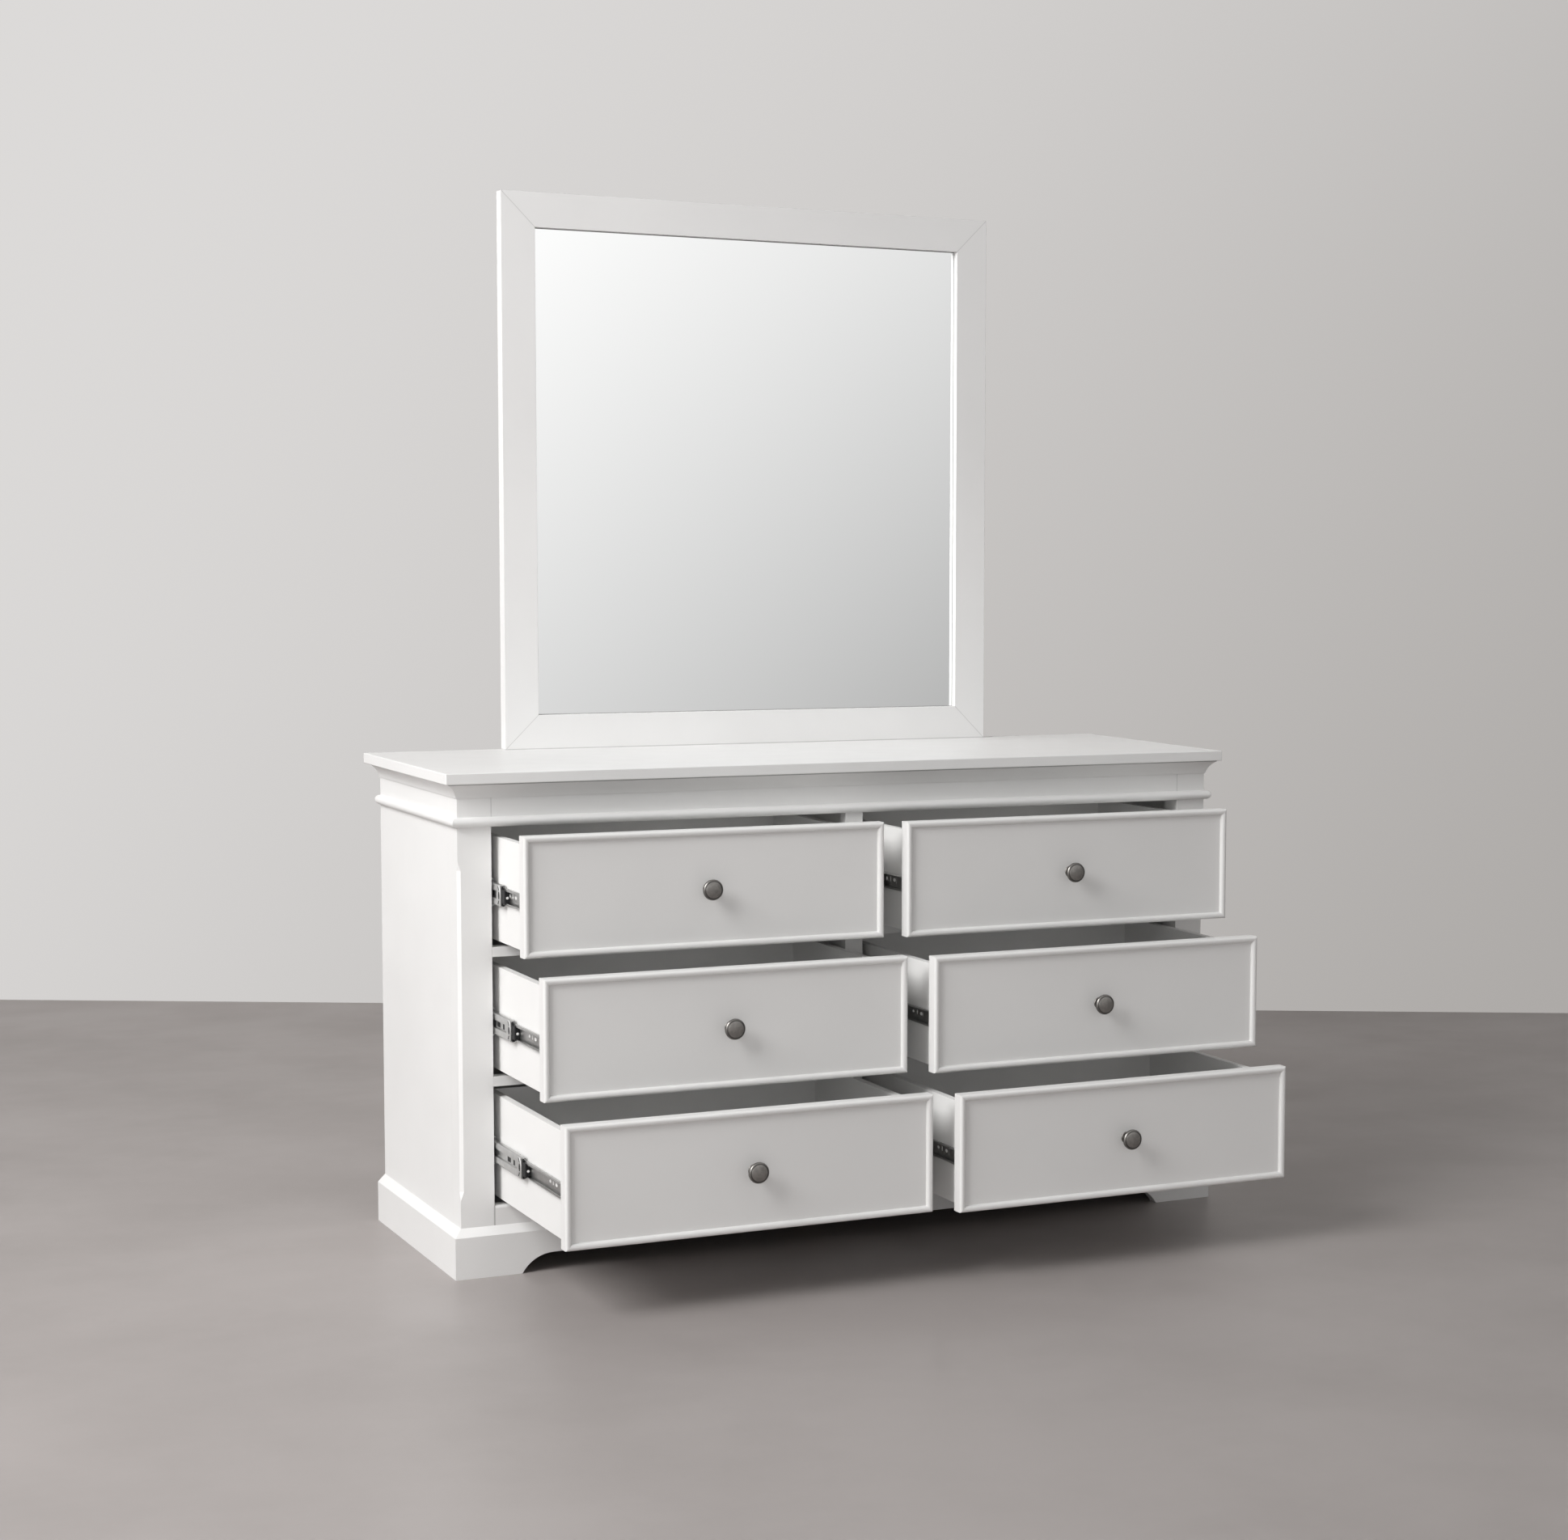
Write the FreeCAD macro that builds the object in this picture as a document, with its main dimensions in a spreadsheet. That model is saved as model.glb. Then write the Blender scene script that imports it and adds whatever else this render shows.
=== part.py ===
import FreeCAD, Part
import math
import os
import Sketcher

# A six-drawer dresser with a framed mirror standing on its top.
# X runs along the width, the drawers open towards -Y, Z is up.
# The origin is on the floor under the middle of the carcass.

doc = FreeCAD.newDocument("DresserWithMirror")

sizes = {
    # carcass
    "bodyWidth": 1392,
    "bodyDepth": 468,
    "topHeight": 827,
    "panelThick": 18,
    "frameThick": 22,
    "postWidth": 56.5,
    "postDepth": 45,
    "stileWidth": 32,
    "railThick": 16,
    "bottomRailHeight": 33,
    "bottomThick": 16,
    "backThick": 6,
    "backRailHeight": 60,
    "railRound": 5,
    # stopped chamfer on the corner posts
    "chamferLeg": 7.5,
    "chamferLift": 60,
    "chamferDrop": 62,
    "chamferRun": 14,
    # top and mouldings
    "slabThick": 18,
    "slabOver": 24,
    "slabRear": 18,
    "slabArris": 1,
    "coveHeight": 24,
    "coveOut": 17,
    "coveCurve": 34,
    "coveFillet": 1.5,
    "friezeShow": 31,
    "beadHeight": 16,
    "beadFlat": 2,
    # plinth
    "plinthHeight": 82,
    "plinthOut": 13,
    "plinthThick": 22,
    "footWidth": 111.5,
    "apronLift": 31,
    "scallopCurve": 62,
    "blockLeg": 70,
    "blockLift": 22,
    "centreFoot": 60,
    # drawers
    "drawerGap": 1.75,
    "boardThick": 18,
    "borderRise": 6,
    "borderWidth": 10.5,
    "borderOuter": 4,
    "borderInner": 5.5,
    "borderFlat": 0.5,
    "boxThick": 12,
    "boxLift": 7,
    "boxDrop": 16.5,
    "boxRearGap": 19,
    "drawerBottom": 6,
    "grooveDepth": 6,
    "grooveLift": 10,
    # how far each drawer stands open
    "restTopLeft": 161,
    "restTopRight": 176,
    "restMiddleLeft": 257,
    "restMiddleRight": 285,
    "restBottomLeft": 357,
    "restBottomRight": 385,
    # knobs
    "knobRadius": 17,
    "knobReach": 26,
    "knobFlange": 10,
    "knobFlangeThick": 2,
    "knobNeck": 5.5,
    "knobEdge": 7,
    "knobFlare": 3,
    "knobBore": 2,
    "knobBoreDepth": 10,
    "knobBoreSpare": 1,
    "screwHead": 4.5,
    "screwHeadThick": 2.5,
    # telescopic slides
    "slideThick": 12.7,
    "slideLift": 86,
    "slideSetBack": 2.5,
    "sheetThick": 1.2,
    "sheetBend": 0.6,
    "sheetLip": 1.6,
    "ballTrack": 3.6,
    "cabinetHeight": 45.5,
    "cabinetReach": 9.5,
    "middleStandOff": 2.6,
    "middlePlay": 1.1,
    "middleShort": 4.5,
    "raceWidth": 1.2,
    "racePlay": 0.1,
    "raceEnd": 8,
    "cabinetRaceLength": 190,
    "drawerRaceLength": 180,
    "stopReach": 18,
    "stopLength": 40,
    "stopEar": 4,
    "stopThick": 1.3,
    "stopPlay": 0.3,
    "battenHeight": 60,
    # mirror
    "mirrorWidth": 946,
    "mirrorHeight": 982,
    "mirrorFrame": 61,
    "mirrorThick": 26,
    "mirrorRecess": 13,
    "mirrorRebate": 9,
    "glassPlay": 1,
    "glassThick": 4,
    "mountBoard": 5,
    "supportWidth": 40,
    "supportThick": 18,
    "supportShort": 222,
    "supportDrop": 140,
    "supportInset": 10,
    "spacerHeight": 110,
    "supportScrew": 2.2,
    "supportScrewHead": 4.5,
    "supportScrewBite": 15,
    "screwLow": 250,
    "screwFromEnd": 120,
}

sheet = doc.addObject("Spreadsheet::Sheet", "dims")
for row, (alias, number) in enumerate(sizes.items(), start=1):
    sheet.set(f"A{row}", alias)
    sheet.set(f"B{row}", str(number))
    sheet.setAlias(f"B{row}", alias)
doc.recompute()

rowCount = 3

# Places worked out from the driving dimensions, as expressions over the sheet.
halfBody = "(dims.bodyWidth / 2)"
front = "(-dims.bodyDepth / 2)"
back = "(dims.bodyDepth / 2)"
frameBack = f"({front} + dims.frameThick)"
postBack = f"({front} + dims.postDepth)"
postInner = f"({halfBody} - dims.postWidth)"
panelInner = f"({halfBody} - dims.panelThick)"
panelBack = f"({back} - dims.backThick)"
stileHalf = "(dims.stileWidth / 2)"
partitionHalf = "(dims.panelThick / 2)"
carcassBase = "dims.plinthHeight"
slabUnder = "(dims.topHeight - dims.slabThick)"
coveBase = f"({slabUnder} - dims.coveHeight)"
beadBase = f"({coveBase} - dims.friezeShow - dims.beadHeight)"
beadOut = "(dims.beadHeight / 2 + dims.beadFlat)"
openWidth = f"({postInner} - {stileHalf})"
openBase = f"({carcassBase} + dims.bottomRailHeight)"
openHeight = f"(({beadBase} - {openBase} - {rowCount - 1} * dims.railThick) / {rowCount})"
openPitch = f"({openHeight} + dims.railThick)"
carcassHeight = f"({slabUnder} - {carcassBase})"
slabBack = f"({back} + dims.slabRear)"

nodes = []


def number(expression):
    """The present value of an expression over the sheet."""
    return float(sheet.evalExpression(expression))


def bind(thing, bindings):
    for path, expression in bindings.items():
        thing.setExpression(path, str(expression))


def place(thing, corner, spin=None):
    if spin:
        thing.Placement = FreeCAD.Placement(FreeCAD.Vector(0, 0, 0), spin)
    for axis, expression in zip("xyz", corner):
        thing.setExpression(f"Placement.Base.{axis}", str(expression))


def node(thing):
    nodes.append(thing)
    return thing


def board(name, corner, extent):
    piece = doc.addObject("Part::Box", name)
    bind(piece, dict(zip(("Length", "Width", "Height"), extent)))
    place(piece, corner)
    return piece


def group(name, members):
    bundle = doc.addObject("Part::Compound", name)
    bundle.Links = members
    return node(bundle)


def mirrored(name, source):
    twin = doc.addObject("Part::Mirroring", name)
    twin.Source = source
    twin.Normal = FreeCAD.Vector(1, 0, 0)
    return twin


def newBody(name):
    return doc.addObject("PartDesign::Body", name)


def sketchOn(body, name, plane, offset=None, turn=0):
    sketch = body.newObject("Sketcher::SketchObject", f"{body.Name}_{name}")
    support = [f for f in body.Origin.OriginFeatures if f.Role == f"{plane}_Plane"][0]
    sketch.AttachmentSupport = [(support, "")]
    sketch.MapMode = "FlatFace"
    turned = FreeCAD.Rotation(FreeCAD.Vector(0, 1, 0), turn)
    sketch.AttachmentOffset = FreeCAD.Placement(FreeCAD.Vector(0, 0, 0), turned)
    if offset:
        sketch.setExpression("AttachmentOffset.Base.z", offset)
    return sketch


def arcEdge(start, end, radius, turn):
    """The arc of a radius from start to end; turn is 1 anticlockwise, -1 clockwise."""
    chord = end - start
    rise = math.sqrt(max(radius**2 - (chord.Length / 2) ** 2, 0))
    leftward = FreeCAD.Vector(-chord.y, chord.x, 0) / chord.Length
    centre = (start + end) / 2 + leftward * rise * turn
    first, last = (start, end) if turn > 0 else (end, start)
    angles = [math.atan2(p.y - centre.y, p.x - centre.x) for p in (first, last)]
    circle = Part.Circle(centre, FreeCAD.Vector(0, 0, 1), radius)
    return Part.ArcOfCircle(circle, angles[0], angles[1])


def outline(sketch, corners):
    """A closed outline. A corner is (x, y), or (x, y, radius, turn) where an arc leaves it."""
    points = [FreeCAD.Vector(number(c[0]), number(c[1]), 0) for c in corners]
    ends = []
    for i, corner in enumerate(corners):
        following = points[(i + 1) % len(points)]
        if len(corner) == 2:
            edge = sketch.addGeometry(Part.LineSegment(points[i], following))
            ends.append((edge, 1, 2))
            continue
        radius, turn = corner[2:]
        arc = arcEdge(points[i], following, number(radius), turn)
        edge = sketch.addGeometry(arc)
        ends.append((edge, 1, 2) if turn > 0 else (edge, 2, 1))
        rule = sketch.addConstraint(Sketcher.Constraint("Radius", edge, number(radius)))
        sketch.setExpression(f"Constraints[{rule}]", str(radius))
    for i, (edge, _, tail) in enumerate(ends):
        nextEdge, nextHead, _ = ends[(i + 1) % len(ends)]
        sketch.addConstraint(Sketcher.Constraint("Coincident", edge, tail, nextEdge, nextHead))
    for (edge, head, _), corner, point in zip(ends, corners, points):
        for kind, value, expression in (
            ("DistanceX", point.x, corner[0]),
            ("DistanceY", point.y, corner[1]),
        ):
            rule = sketch.addConstraint(Sketcher.Constraint(kind, -1, 1, edge, head, value))
            sketch.setExpression(f"Constraints[{rule}]", str(expression))
    return sketch


def ring(sketch, x, y, radius):
    """A circle at a place, both given as expressions."""
    centre = FreeCAD.Vector(number(x), number(y), 0)
    edge = sketch.addGeometry(Part.Circle(centre, FreeCAD.Vector(0, 0, 1), number(radius)))
    for kind, reference, expression in (
        ("DistanceX", (-1, 1, edge, 3), x),
        ("DistanceY", (-1, 1, edge, 3), y),
        ("Radius", (edge,), radius),
    ):
        rule = sketch.addConstraint(Sketcher.Constraint(kind, *reference, number(expression)))
        sketch.setExpression(f"Constraints[{rule}]", str(expression))
    return sketch


def rectangle(x0, y0, x1, y1):
    return [(x0, y0), (x1, y0), (x1, y1), (x0, y1)]


def pad(body, sketch, length, reverse=False):
    feature = body.newObject("PartDesign::Pad", f"{body.Name}_Pad")
    feature.Profile = sketch
    feature.Reversed = reverse
    feature.setExpression("Length", length)
    return feature


def pocket(body, sketch, length, reverse=False):
    feature = body.newObject("PartDesign::Pocket", f"{body.Name}_Pocket")
    feature.Profile = sketch
    feature.Reversed = reverse
    feature.setExpression("Length", length)
    return feature


def edgesWhere(feature, test):
    """The names of the feature's edges whose middles pass the test."""
    doc.recompute()
    names = []
    for i, edge in enumerate(feature.Shape.Edges, start=1):
        middle = edge.valueAt((edge.FirstParameter + edge.LastParameter) / 2)
        if test(middle):
            names.append(f"Edge{i}")
    return names


def soften(body, kind, feature, measure, test):
    """A Fillet or Chamfer of one measure along the edges that pass the test."""
    edges = edgesWhere(feature, test)
    soft = body.newObject(f"PartDesign::{kind}", f"{body.Name}_{kind}")
    soft.Base = (feature, edges)
    soft.setExpression("Radius" if kind == "Fillet" else "Size", measure)
    return soft


def near(a, expression):
    return abs(a - number(expression)) < 0.01


def drilled(name, piece, bores, radius):
    """A piece with bores along Y; each bore is (x, y, z, length) from its front end."""
    drills = []
    for i, (x, y, z, length) in enumerate(bores, start=1):
        drill = doc.addObject("Part::Cylinder", f"{name}_drill{i}")
        bind(drill, {"Radius": radius, "Height": length})
        place(drill, (x, y, z), FreeCAD.Rotation(FreeCAD.Vector(1, 0, 0), -90))
        drills.append(drill)
    tool = doc.addObject("Part::Compound", f"{name}_drills")
    tool.Links = drills
    cut = doc.addObject("Part::Cut", name)
    cut.Base = piece
    cut.Tool = tool
    return cut


cutOver = 1  # how far a cutting outline reaches past the piece


def mitre(body, name, wide, depth, start=None, sign=1, plane="XY"):
    """Cuts a piece's end at 45 degrees, from its outer corner at 0 to its inner one.

    The piece runs along the sketch's y, or along its x where a start is given; sign is 1 at the
    near end and -1 at the far one.
    """
    over = f"({wide} + {cutOver})"
    if start is None:
        triangle = [(f"-{cutOver}", f"-{cutOver}"), (over, f"-{cutOver}"), (over, over)]
    else:
        end = f"{start} - ({sign * cutOver})"
        triangle = [(end, f"-{cutOver}"), (end, over), (f"{start} + ({sign}) * {over}", over)]
    cut = outline(sketchOn(body, name, plane), triangle)
    return pocket(body, cut, depth, reverse=plane == "XY")


# base


def plinthFront():
    """A board with a bevelled top edge and a shallow scalloped cut-out between two feet."""
    body = newBody("plinth_front")
    run = "(dims.bodyWidth + 2 * dims.plinthOut)"
    # the curve starts at the foot's tip and meets the apron's edge square to its radius
    reach = "(sqrt(dims.scallopCurve ^ 2 - (dims.scallopCurve - dims.apronLift) ^ 2))"
    face = outline(sketchOn(body, "Face", "XZ"), [
        ("0", "0"),
        ("dims.footWidth", "0", "dims.scallopCurve", -1),
        (f"dims.footWidth + {reach}", "dims.apronLift"),
        (f"{run} - dims.footWidth - {reach}", "dims.apronLift", "dims.scallopCurve", -1),
        (f"{run} - dims.footWidth", "0"),
        (run, "0"),
        (run, "dims.plinthHeight"),
        ("0", "dims.plinthHeight"),
    ])
    blank = pad(body, face, "dims.plinthThick", reverse=True)
    bevel = soften(body, "Chamfer", blank, "dims.plinthOut",
                   lambda p: near(p.y, "0") and near(p.z, "dims.plinthHeight"))
    body.Tip = bevel
    mitre(body, "MitreLeft", "dims.plinthThick", "dims.plinthHeight", start="0")
    mitre(body, "MitreRight", "dims.plinthThick", "dims.plinthHeight", start=run, sign=-1)
    place(body, (f"-{run} / 2", f"{front} - dims.plinthOut", "0"))
    return node(body)


def plinthSide():
    """A side board of the plinth, bevelled outside and mitred at its front end."""
    body = newBody("plinth_side_left")
    run = "(dims.bodyDepth + dims.plinthOut)"
    section = outline(sketchOn(body, "Section", "XZ"), [
        ("0", "0"),
        ("dims.plinthThick", "0"),
        ("dims.plinthThick", "dims.plinthHeight"),
        ("dims.plinthOut", "dims.plinthHeight"),
        ("0", "dims.plinthHeight - dims.plinthOut"),
    ])
    pad(body, section, run, reverse=True)
    mitre(body, "Mitre", "dims.plinthThick", "dims.plinthHeight")
    place(body, (f"-{halfBody} - dims.plinthOut", f"{front} - dims.plinthOut", "0"))
    return body


def cornerBlock(name, corner, turn):
    """A triangular glue block, its right angle in a corner of the plinth."""
    body = newBody(name)
    triangle = [("0", "0"), ("dims.blockLeg", "0"), ("0", "dims.blockLeg")]
    pad(body, outline(sketchOn(body, "Triangle", "XY"), triangle), "dims.plinthHeight - dims.blockLift")
    place(body, corner, FreeCAD.Rotation(FreeCAD.Vector(0, 0, 1), turn))
    return body


plinthInnerX = f"({halfBody} + dims.plinthOut - dims.plinthThick)"
plinthInnerFront = f"({front} - dims.plinthOut + dims.plinthThick)"
plinthInnerBack = f"({back} - dims.plinthThick)"

plinthFront()
leftPlinth = plinthSide()
group("plinth_sides", [leftPlinth, mirrored("plinth_side_right", leftPlinth)])
node(board("plinth_back", (f"-{plinthInnerX}", plinthInnerBack, "0"),
           (f"2 * {plinthInnerX}", "dims.plinthThick", "dims.plinthHeight")))
group("corner_blocks", [
    cornerBlock("block_front_left", (f"-{plinthInnerX}", plinthInnerFront, "dims.blockLift"), 0),
    cornerBlock("block_front_right", (plinthInnerX, plinthInnerFront, "dims.blockLift"), 90),
    cornerBlock("block_back_right", (plinthInnerX, plinthInnerBack, "dims.blockLift"), 180),
    cornerBlock("block_back_left", (f"-{plinthInnerX}", plinthInnerBack, "dims.blockLift"), -90),
])
node(board("centre_foot", ("-dims.centreFoot / 2", "-dims.centreFoot / 2", "0"),
           ("dims.centreFoot", "dims.centreFoot", "dims.plinthHeight")))

# carcass


def frontPost():
    """A corner post whose outer edge has a chamfer that stops short of both ends."""
    body = newBody("front_post_left")
    section = outline(sketchOn(body, "Section", "XY"),
                      rectangle("0", "0", "dims.postWidth", "dims.postDepth"))
    pad(body, section, carcassHeight)
    # the cutter's outline lies in the upright plane that halves the corner
    low = "dims.chamferLift"
    high = f"({beadBase} - {carcassBase} - dims.chamferDrop)"
    deep = "(dims.chamferLeg / sqrt(2))"
    cutter = sketchOn(body, "Stops", "XZ", offset="-dims.chamferLeg", turn=-45)
    outline(cutter, [
        ("0", f"{low} - dims.chamferRun"),
        (deep, low),
        (deep, high),
        ("0", f"{high} + dims.chamferRun"),
        ("-dims.chamferLeg", f"{high} + dims.chamferRun"),
        ("-dims.chamferLeg", f"{low} - dims.chamferRun"),
    ])
    pocket(body, cutter, "2 * dims.chamferLeg", reverse=True)
    place(body, (f"-{halfBody}", front, carcassBase))
    return body


def bottomPanel():
    """The bottom, notched round the two posts."""
    body = newBody("bottom_panel")
    shape = outline(sketchOn(body, "Shape", "XY"), [
        (f"-{postInner}", frameBack),
        (postInner, frameBack),
        (postInner, postBack),
        (panelInner, postBack),
        (panelInner, panelBack),
        (f"-{panelInner}", panelBack),
        (f"-{panelInner}", postBack),
        (f"-{postInner}", postBack),
    ])
    pad(body, shape, "dims.bottomThick")
    place(body, ("0", "0", carcassBase))
    return node(body)


def bottomRail():
    """The front rail under the lowest drawers, with a rounded lip."""
    body = newBody("bottom_rail")
    tall = "dims.bottomRailHeight"
    section = outline(sketchOn(body, "Section", "YZ"), [
        ("0", "0"),
        ("dims.frameThick", "0"),
        ("dims.frameThick", tall),
        ("dims.railRound", tall, "dims.railRound", 1),
        ("0", f"{tall} - dims.railRound"),
    ])
    pad(body, section, f"2 * {postInner}")
    place(body, (f"-{postInner}", front, carcassBase))
    return node(body)


leftPost = node(frontPost())
node(mirrored("front_post_right", leftPost))
leftPanel = node(board("side_panel_left", (f"-{halfBody}", postBack, carcassBase),
                       ("dims.panelThick", f"{back} - {postBack}", carcassHeight)))
node(mirrored("side_panel_right", leftPanel))
bottomPanel()
bottomRail()
node(board("frieze_rail", (f"-{postInner}", front, beadBase),
           (f"2 * {postInner}", "dims.frameThick", f"{slabUnder} - {beadBase}")))
node(board("centre_stile", (f"-{stileHalf}", front, openBase),
           ("dims.stileWidth", "dims.frameThick", f"{beadBase} - {openBase}")))

dividers = []
for level in range(1, rowCount):
    rail = board(f"divider_left_{level}",
                 (f"-{postInner}", front, f"{openBase} + {level} * {openPitch} - dims.railThick"),
                 (openWidth, "dims.frameThick", "dims.railThick"))
    dividers += [rail, mirrored(f"divider_right_{level}", rail)]
group("divider_rails", dividers)

partitionBase = f"({carcassBase} + dims.bottomThick)"
node(board("centre_partition", (f"-{partitionHalf}", frameBack, partitionBase),
           ("dims.panelThick", f"{panelBack} - {frameBack}", f"{slabUnder} - {partitionBase}")))

# slides

slideFront = f"({front} + dims.boardThick + dims.slideSetBack)"
boxLength = f"({panelBack} - {front} - dims.boardThick - dims.boxRearGap)"
slideLength = f"({boxLength} - dims.slideSetBack)"
slideEnd = f"({slideFront} + {slideLength})"
middleLength = f"({slideLength} - dims.stopReach - dims.middleShort)"
outerBend = "(dims.sheetBend + dims.sheetThick)"
lipReach = f"({outerBend} + dims.sheetLip)"
nesting = "(2 * (dims.sheetThick + dims.ballTrack))"
middleHeight = f"(dims.cabinetHeight - {nesting})"
innerHeight = f"({middleHeight} - {nesting})"
middleReach = "(dims.slideThick - dims.sheetThick - dims.middleStandOff - dims.middlePlay)"
stopLevel = "(dims.middleStandOff + dims.sheetThick)"
innerReach = f"(dims.slideThick - {stopLevel} - dims.stopThick - dims.stopPlay)"


def channel(name, tall, reach, length, origin, flip):
    """A rolled channel: a web with bent flanges whose lips turn in, as ball tracks do.

    Its web stands on x = 0 and it runs along +Y; flipped, it is turned half round on Z. Each
    bend is one flat facet inside and out.
    """
    body = newBody(name)
    top = f"({tall} / 2)"
    sheetIn = "dims.sheetThick"
    bend = outerBend
    upper = [
        (bend, top),
        (f"{reach} - {bend}", top),
        (reach, f"{top} - {bend}"),
        (reach, f"{top} - {lipReach}"),
        (f"{reach} - {sheetIn}", f"{top} - {lipReach}"),
        (f"{reach} - {sheetIn}", f"{top} - {bend}"),
        (f"{reach} - {bend}", f"{top} - {sheetIn}"),
        (bend, f"{top} - {sheetIn}"),
        (sheetIn, f"{top} - {bend}"),
    ]
    lower = [(x, f"-({z})") for x, z in reversed(upper)]
    webBack = [("0", f"-({top} - {bend})"), ("0", f"{top} - {bend}")]
    section = outline(sketchOn(body, "Section", "XZ"), upper + lower + webBack)
    pad(body, section, length, reverse=True)
    x, y, z = origin
    if flip:
        place(body, (x, f"{y} + {length}", z), FreeCAD.Rotation(FreeCAD.Vector(0, 0, 1), 180))
    else:
        place(body, (x, y, z))
    return body


rows = {"top": 2, "middle": 1, "bottom": 0}
columns = ("left", "right")


def frontBase(row):
    return f"({openBase} + {rows[row]} * {openPitch} + dims.drawerGap)"


def openLeft(column):
    return f"(-{postInner})" if column == "left" else stileHalf


def sides(column):
    """For each side of an opening: its name, its face's x, the inward sign, and if flipped."""
    return (
        ("l", openLeft(column), 1, False),
        ("r", f"({openLeft(column)} + {openWidth})", -1, True),
    )


battens = []
cabinetMembers = []
for row in rows:
    level = f"({frontBase(row)} + dims.slideLift)"
    for column in columns:
        for side, face, inward, flip in sides(column):
            name = f"{row}_{column}_{side}"
            outer = (column == "left") == (side == "l")
            if outer:
                thick = f"({panelInner} - {postInner})"
                start = postBack
            else:
                thick = f"({stileHalf} - {partitionHalf})"
                start = frameBack
            corner = f"{face} - {thick}" if inward > 0 else face
            battens.append(board(f"batten_{name}", (corner, start, f"{level} - dims.battenHeight / 2"),
                                 (thick, f"{slideEnd} - {start}", "dims.battenHeight")))
            cabinetMembers.append(channel(f"cabinet_{name}", "dims.cabinetHeight", "dims.cabinetReach",
                                          slideLength, (face, slideFront, level), flip))
group("slide_battens", battens)
group("cabinet_slides", cabinetMembers)

# drawers

frontWidth = f"({openWidth} - 2 * dims.drawerGap)"
frontHeight = f"({openHeight} - 2 * dims.drawerGap)"
boxHeight = f"({frontHeight} - dims.boxLift - dims.boxDrop)"
boxEdge = "(dims.slideThick - dims.drawerGap)"
boxInner = f"({boxEdge} + dims.boxThick)"
bottomLevel = "(dims.boxLift + dims.grooveLift)"


def drawerFront(name, origin):
    """A board with a mitred half-round border standing proud of a flat field."""
    body = newBody(f"drawer_front_{name}")
    thick = "(dims.boardThick + dims.borderRise)"
    blank = outline(sketchOn(body, "Board", "XZ"), rectangle("0", "0", frontWidth, frontHeight))
    pad(body, blank, thick)
    field = outline(sketchOn(body, "Field", "XZ", offset=thick), rectangle(
        "dims.borderWidth", "dims.borderWidth",
        f"{frontWidth} - dims.borderWidth", f"{frontHeight} - dims.borderWidth"))
    sunk = pocket(body, field, "dims.borderRise")
    inset = number("dims.borderWidth")
    hollow = ("min(dims.borderInner; dims.borderRise - dims.borderFlat;"
              " dims.borderWidth - dims.borderOuter - dims.borderFlat)")
    wide, tall = number(frontWidth), number(frontHeight)
    outerRim = soften(body, "Fillet", sunk, "dims.borderOuter", lambda p: near(p.y, f"-{thick}") and (
        min(p.x, wide - p.x) < 0.01 or min(p.z, tall - p.z) < 0.01))
    soften(body, "Fillet", outerRim, hollow, lambda p: near(p.y, f"-{thick}") and (
        min(abs(min(p.x, wide - p.x) - inset), abs(min(p.z, tall - p.z) - inset)) < 0.01))
    hole = ring(sketchOn(body, "Bore", "XZ"), f"{frontWidth} / 2", f"{frontHeight} / 2", "dims.knobBore")
    pocket(body, hole, thick, reverse=True)
    place(body, origin)
    return node(body)


def boxSide(name, origin, flip):
    """A drawer side with a groove for the bottom."""
    body = newBody(name)
    section = outline(sketchOn(body, "Section", "XZ"), [
        ("0", "0"),
        ("dims.boxThick", "0"),
        ("dims.boxThick", "dims.grooveLift"),
        ("dims.boxThick - dims.grooveDepth", "dims.grooveLift"),
        ("dims.boxThick - dims.grooveDepth", "dims.grooveLift + dims.drawerBottom"),
        ("dims.boxThick", "dims.grooveLift + dims.drawerBottom"),
        ("dims.boxThick", boxHeight),
        ("0", boxHeight),
    ])
    pad(body, section, boxLength, reverse=True)
    x, y, z = origin
    if flip:
        place(body, (x, f"{y} + {boxLength}", z), FreeCAD.Rotation(FreeCAD.Vector(0, 0, 1), 180))
    else:
        place(body, origin)
    return body


def boxEnd(name, origin, flip, bored):
    """The box's front or back: a grooved board between the sides."""
    body = newBody(name)
    run = f"({frontWidth} - 2 * {boxInner})"
    section = outline(sketchOn(body, "Section", "YZ"), [
        ("0", "0"),
        ("dims.boxThick", "0"),
        ("dims.boxThick", "dims.grooveLift"),
        ("dims.boxThick - dims.grooveDepth", "dims.grooveLift"),
        ("dims.boxThick - dims.grooveDepth", "dims.grooveLift + dims.drawerBottom"),
        ("dims.boxThick", "dims.grooveLift + dims.drawerBottom"),
        ("dims.boxThick", boxHeight),
        ("0", boxHeight),
    ])
    pad(body, section, run)
    if bored:
        hole = ring(sketchOn(body, "Bore", "XZ"), f"{run} / 2",
                    f"{frontHeight} / 2 - dims.boxLift", "dims.knobBore")
        pocket(body, hole, "dims.boxThick")
    x, y, z = origin
    if flip:
        place(body, (f"{x} + {run}", y, z), FreeCAD.Rotation(FreeCAD.Vector(0, 0, 1), 180))
    else:
        place(body, origin)
    return body


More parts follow.
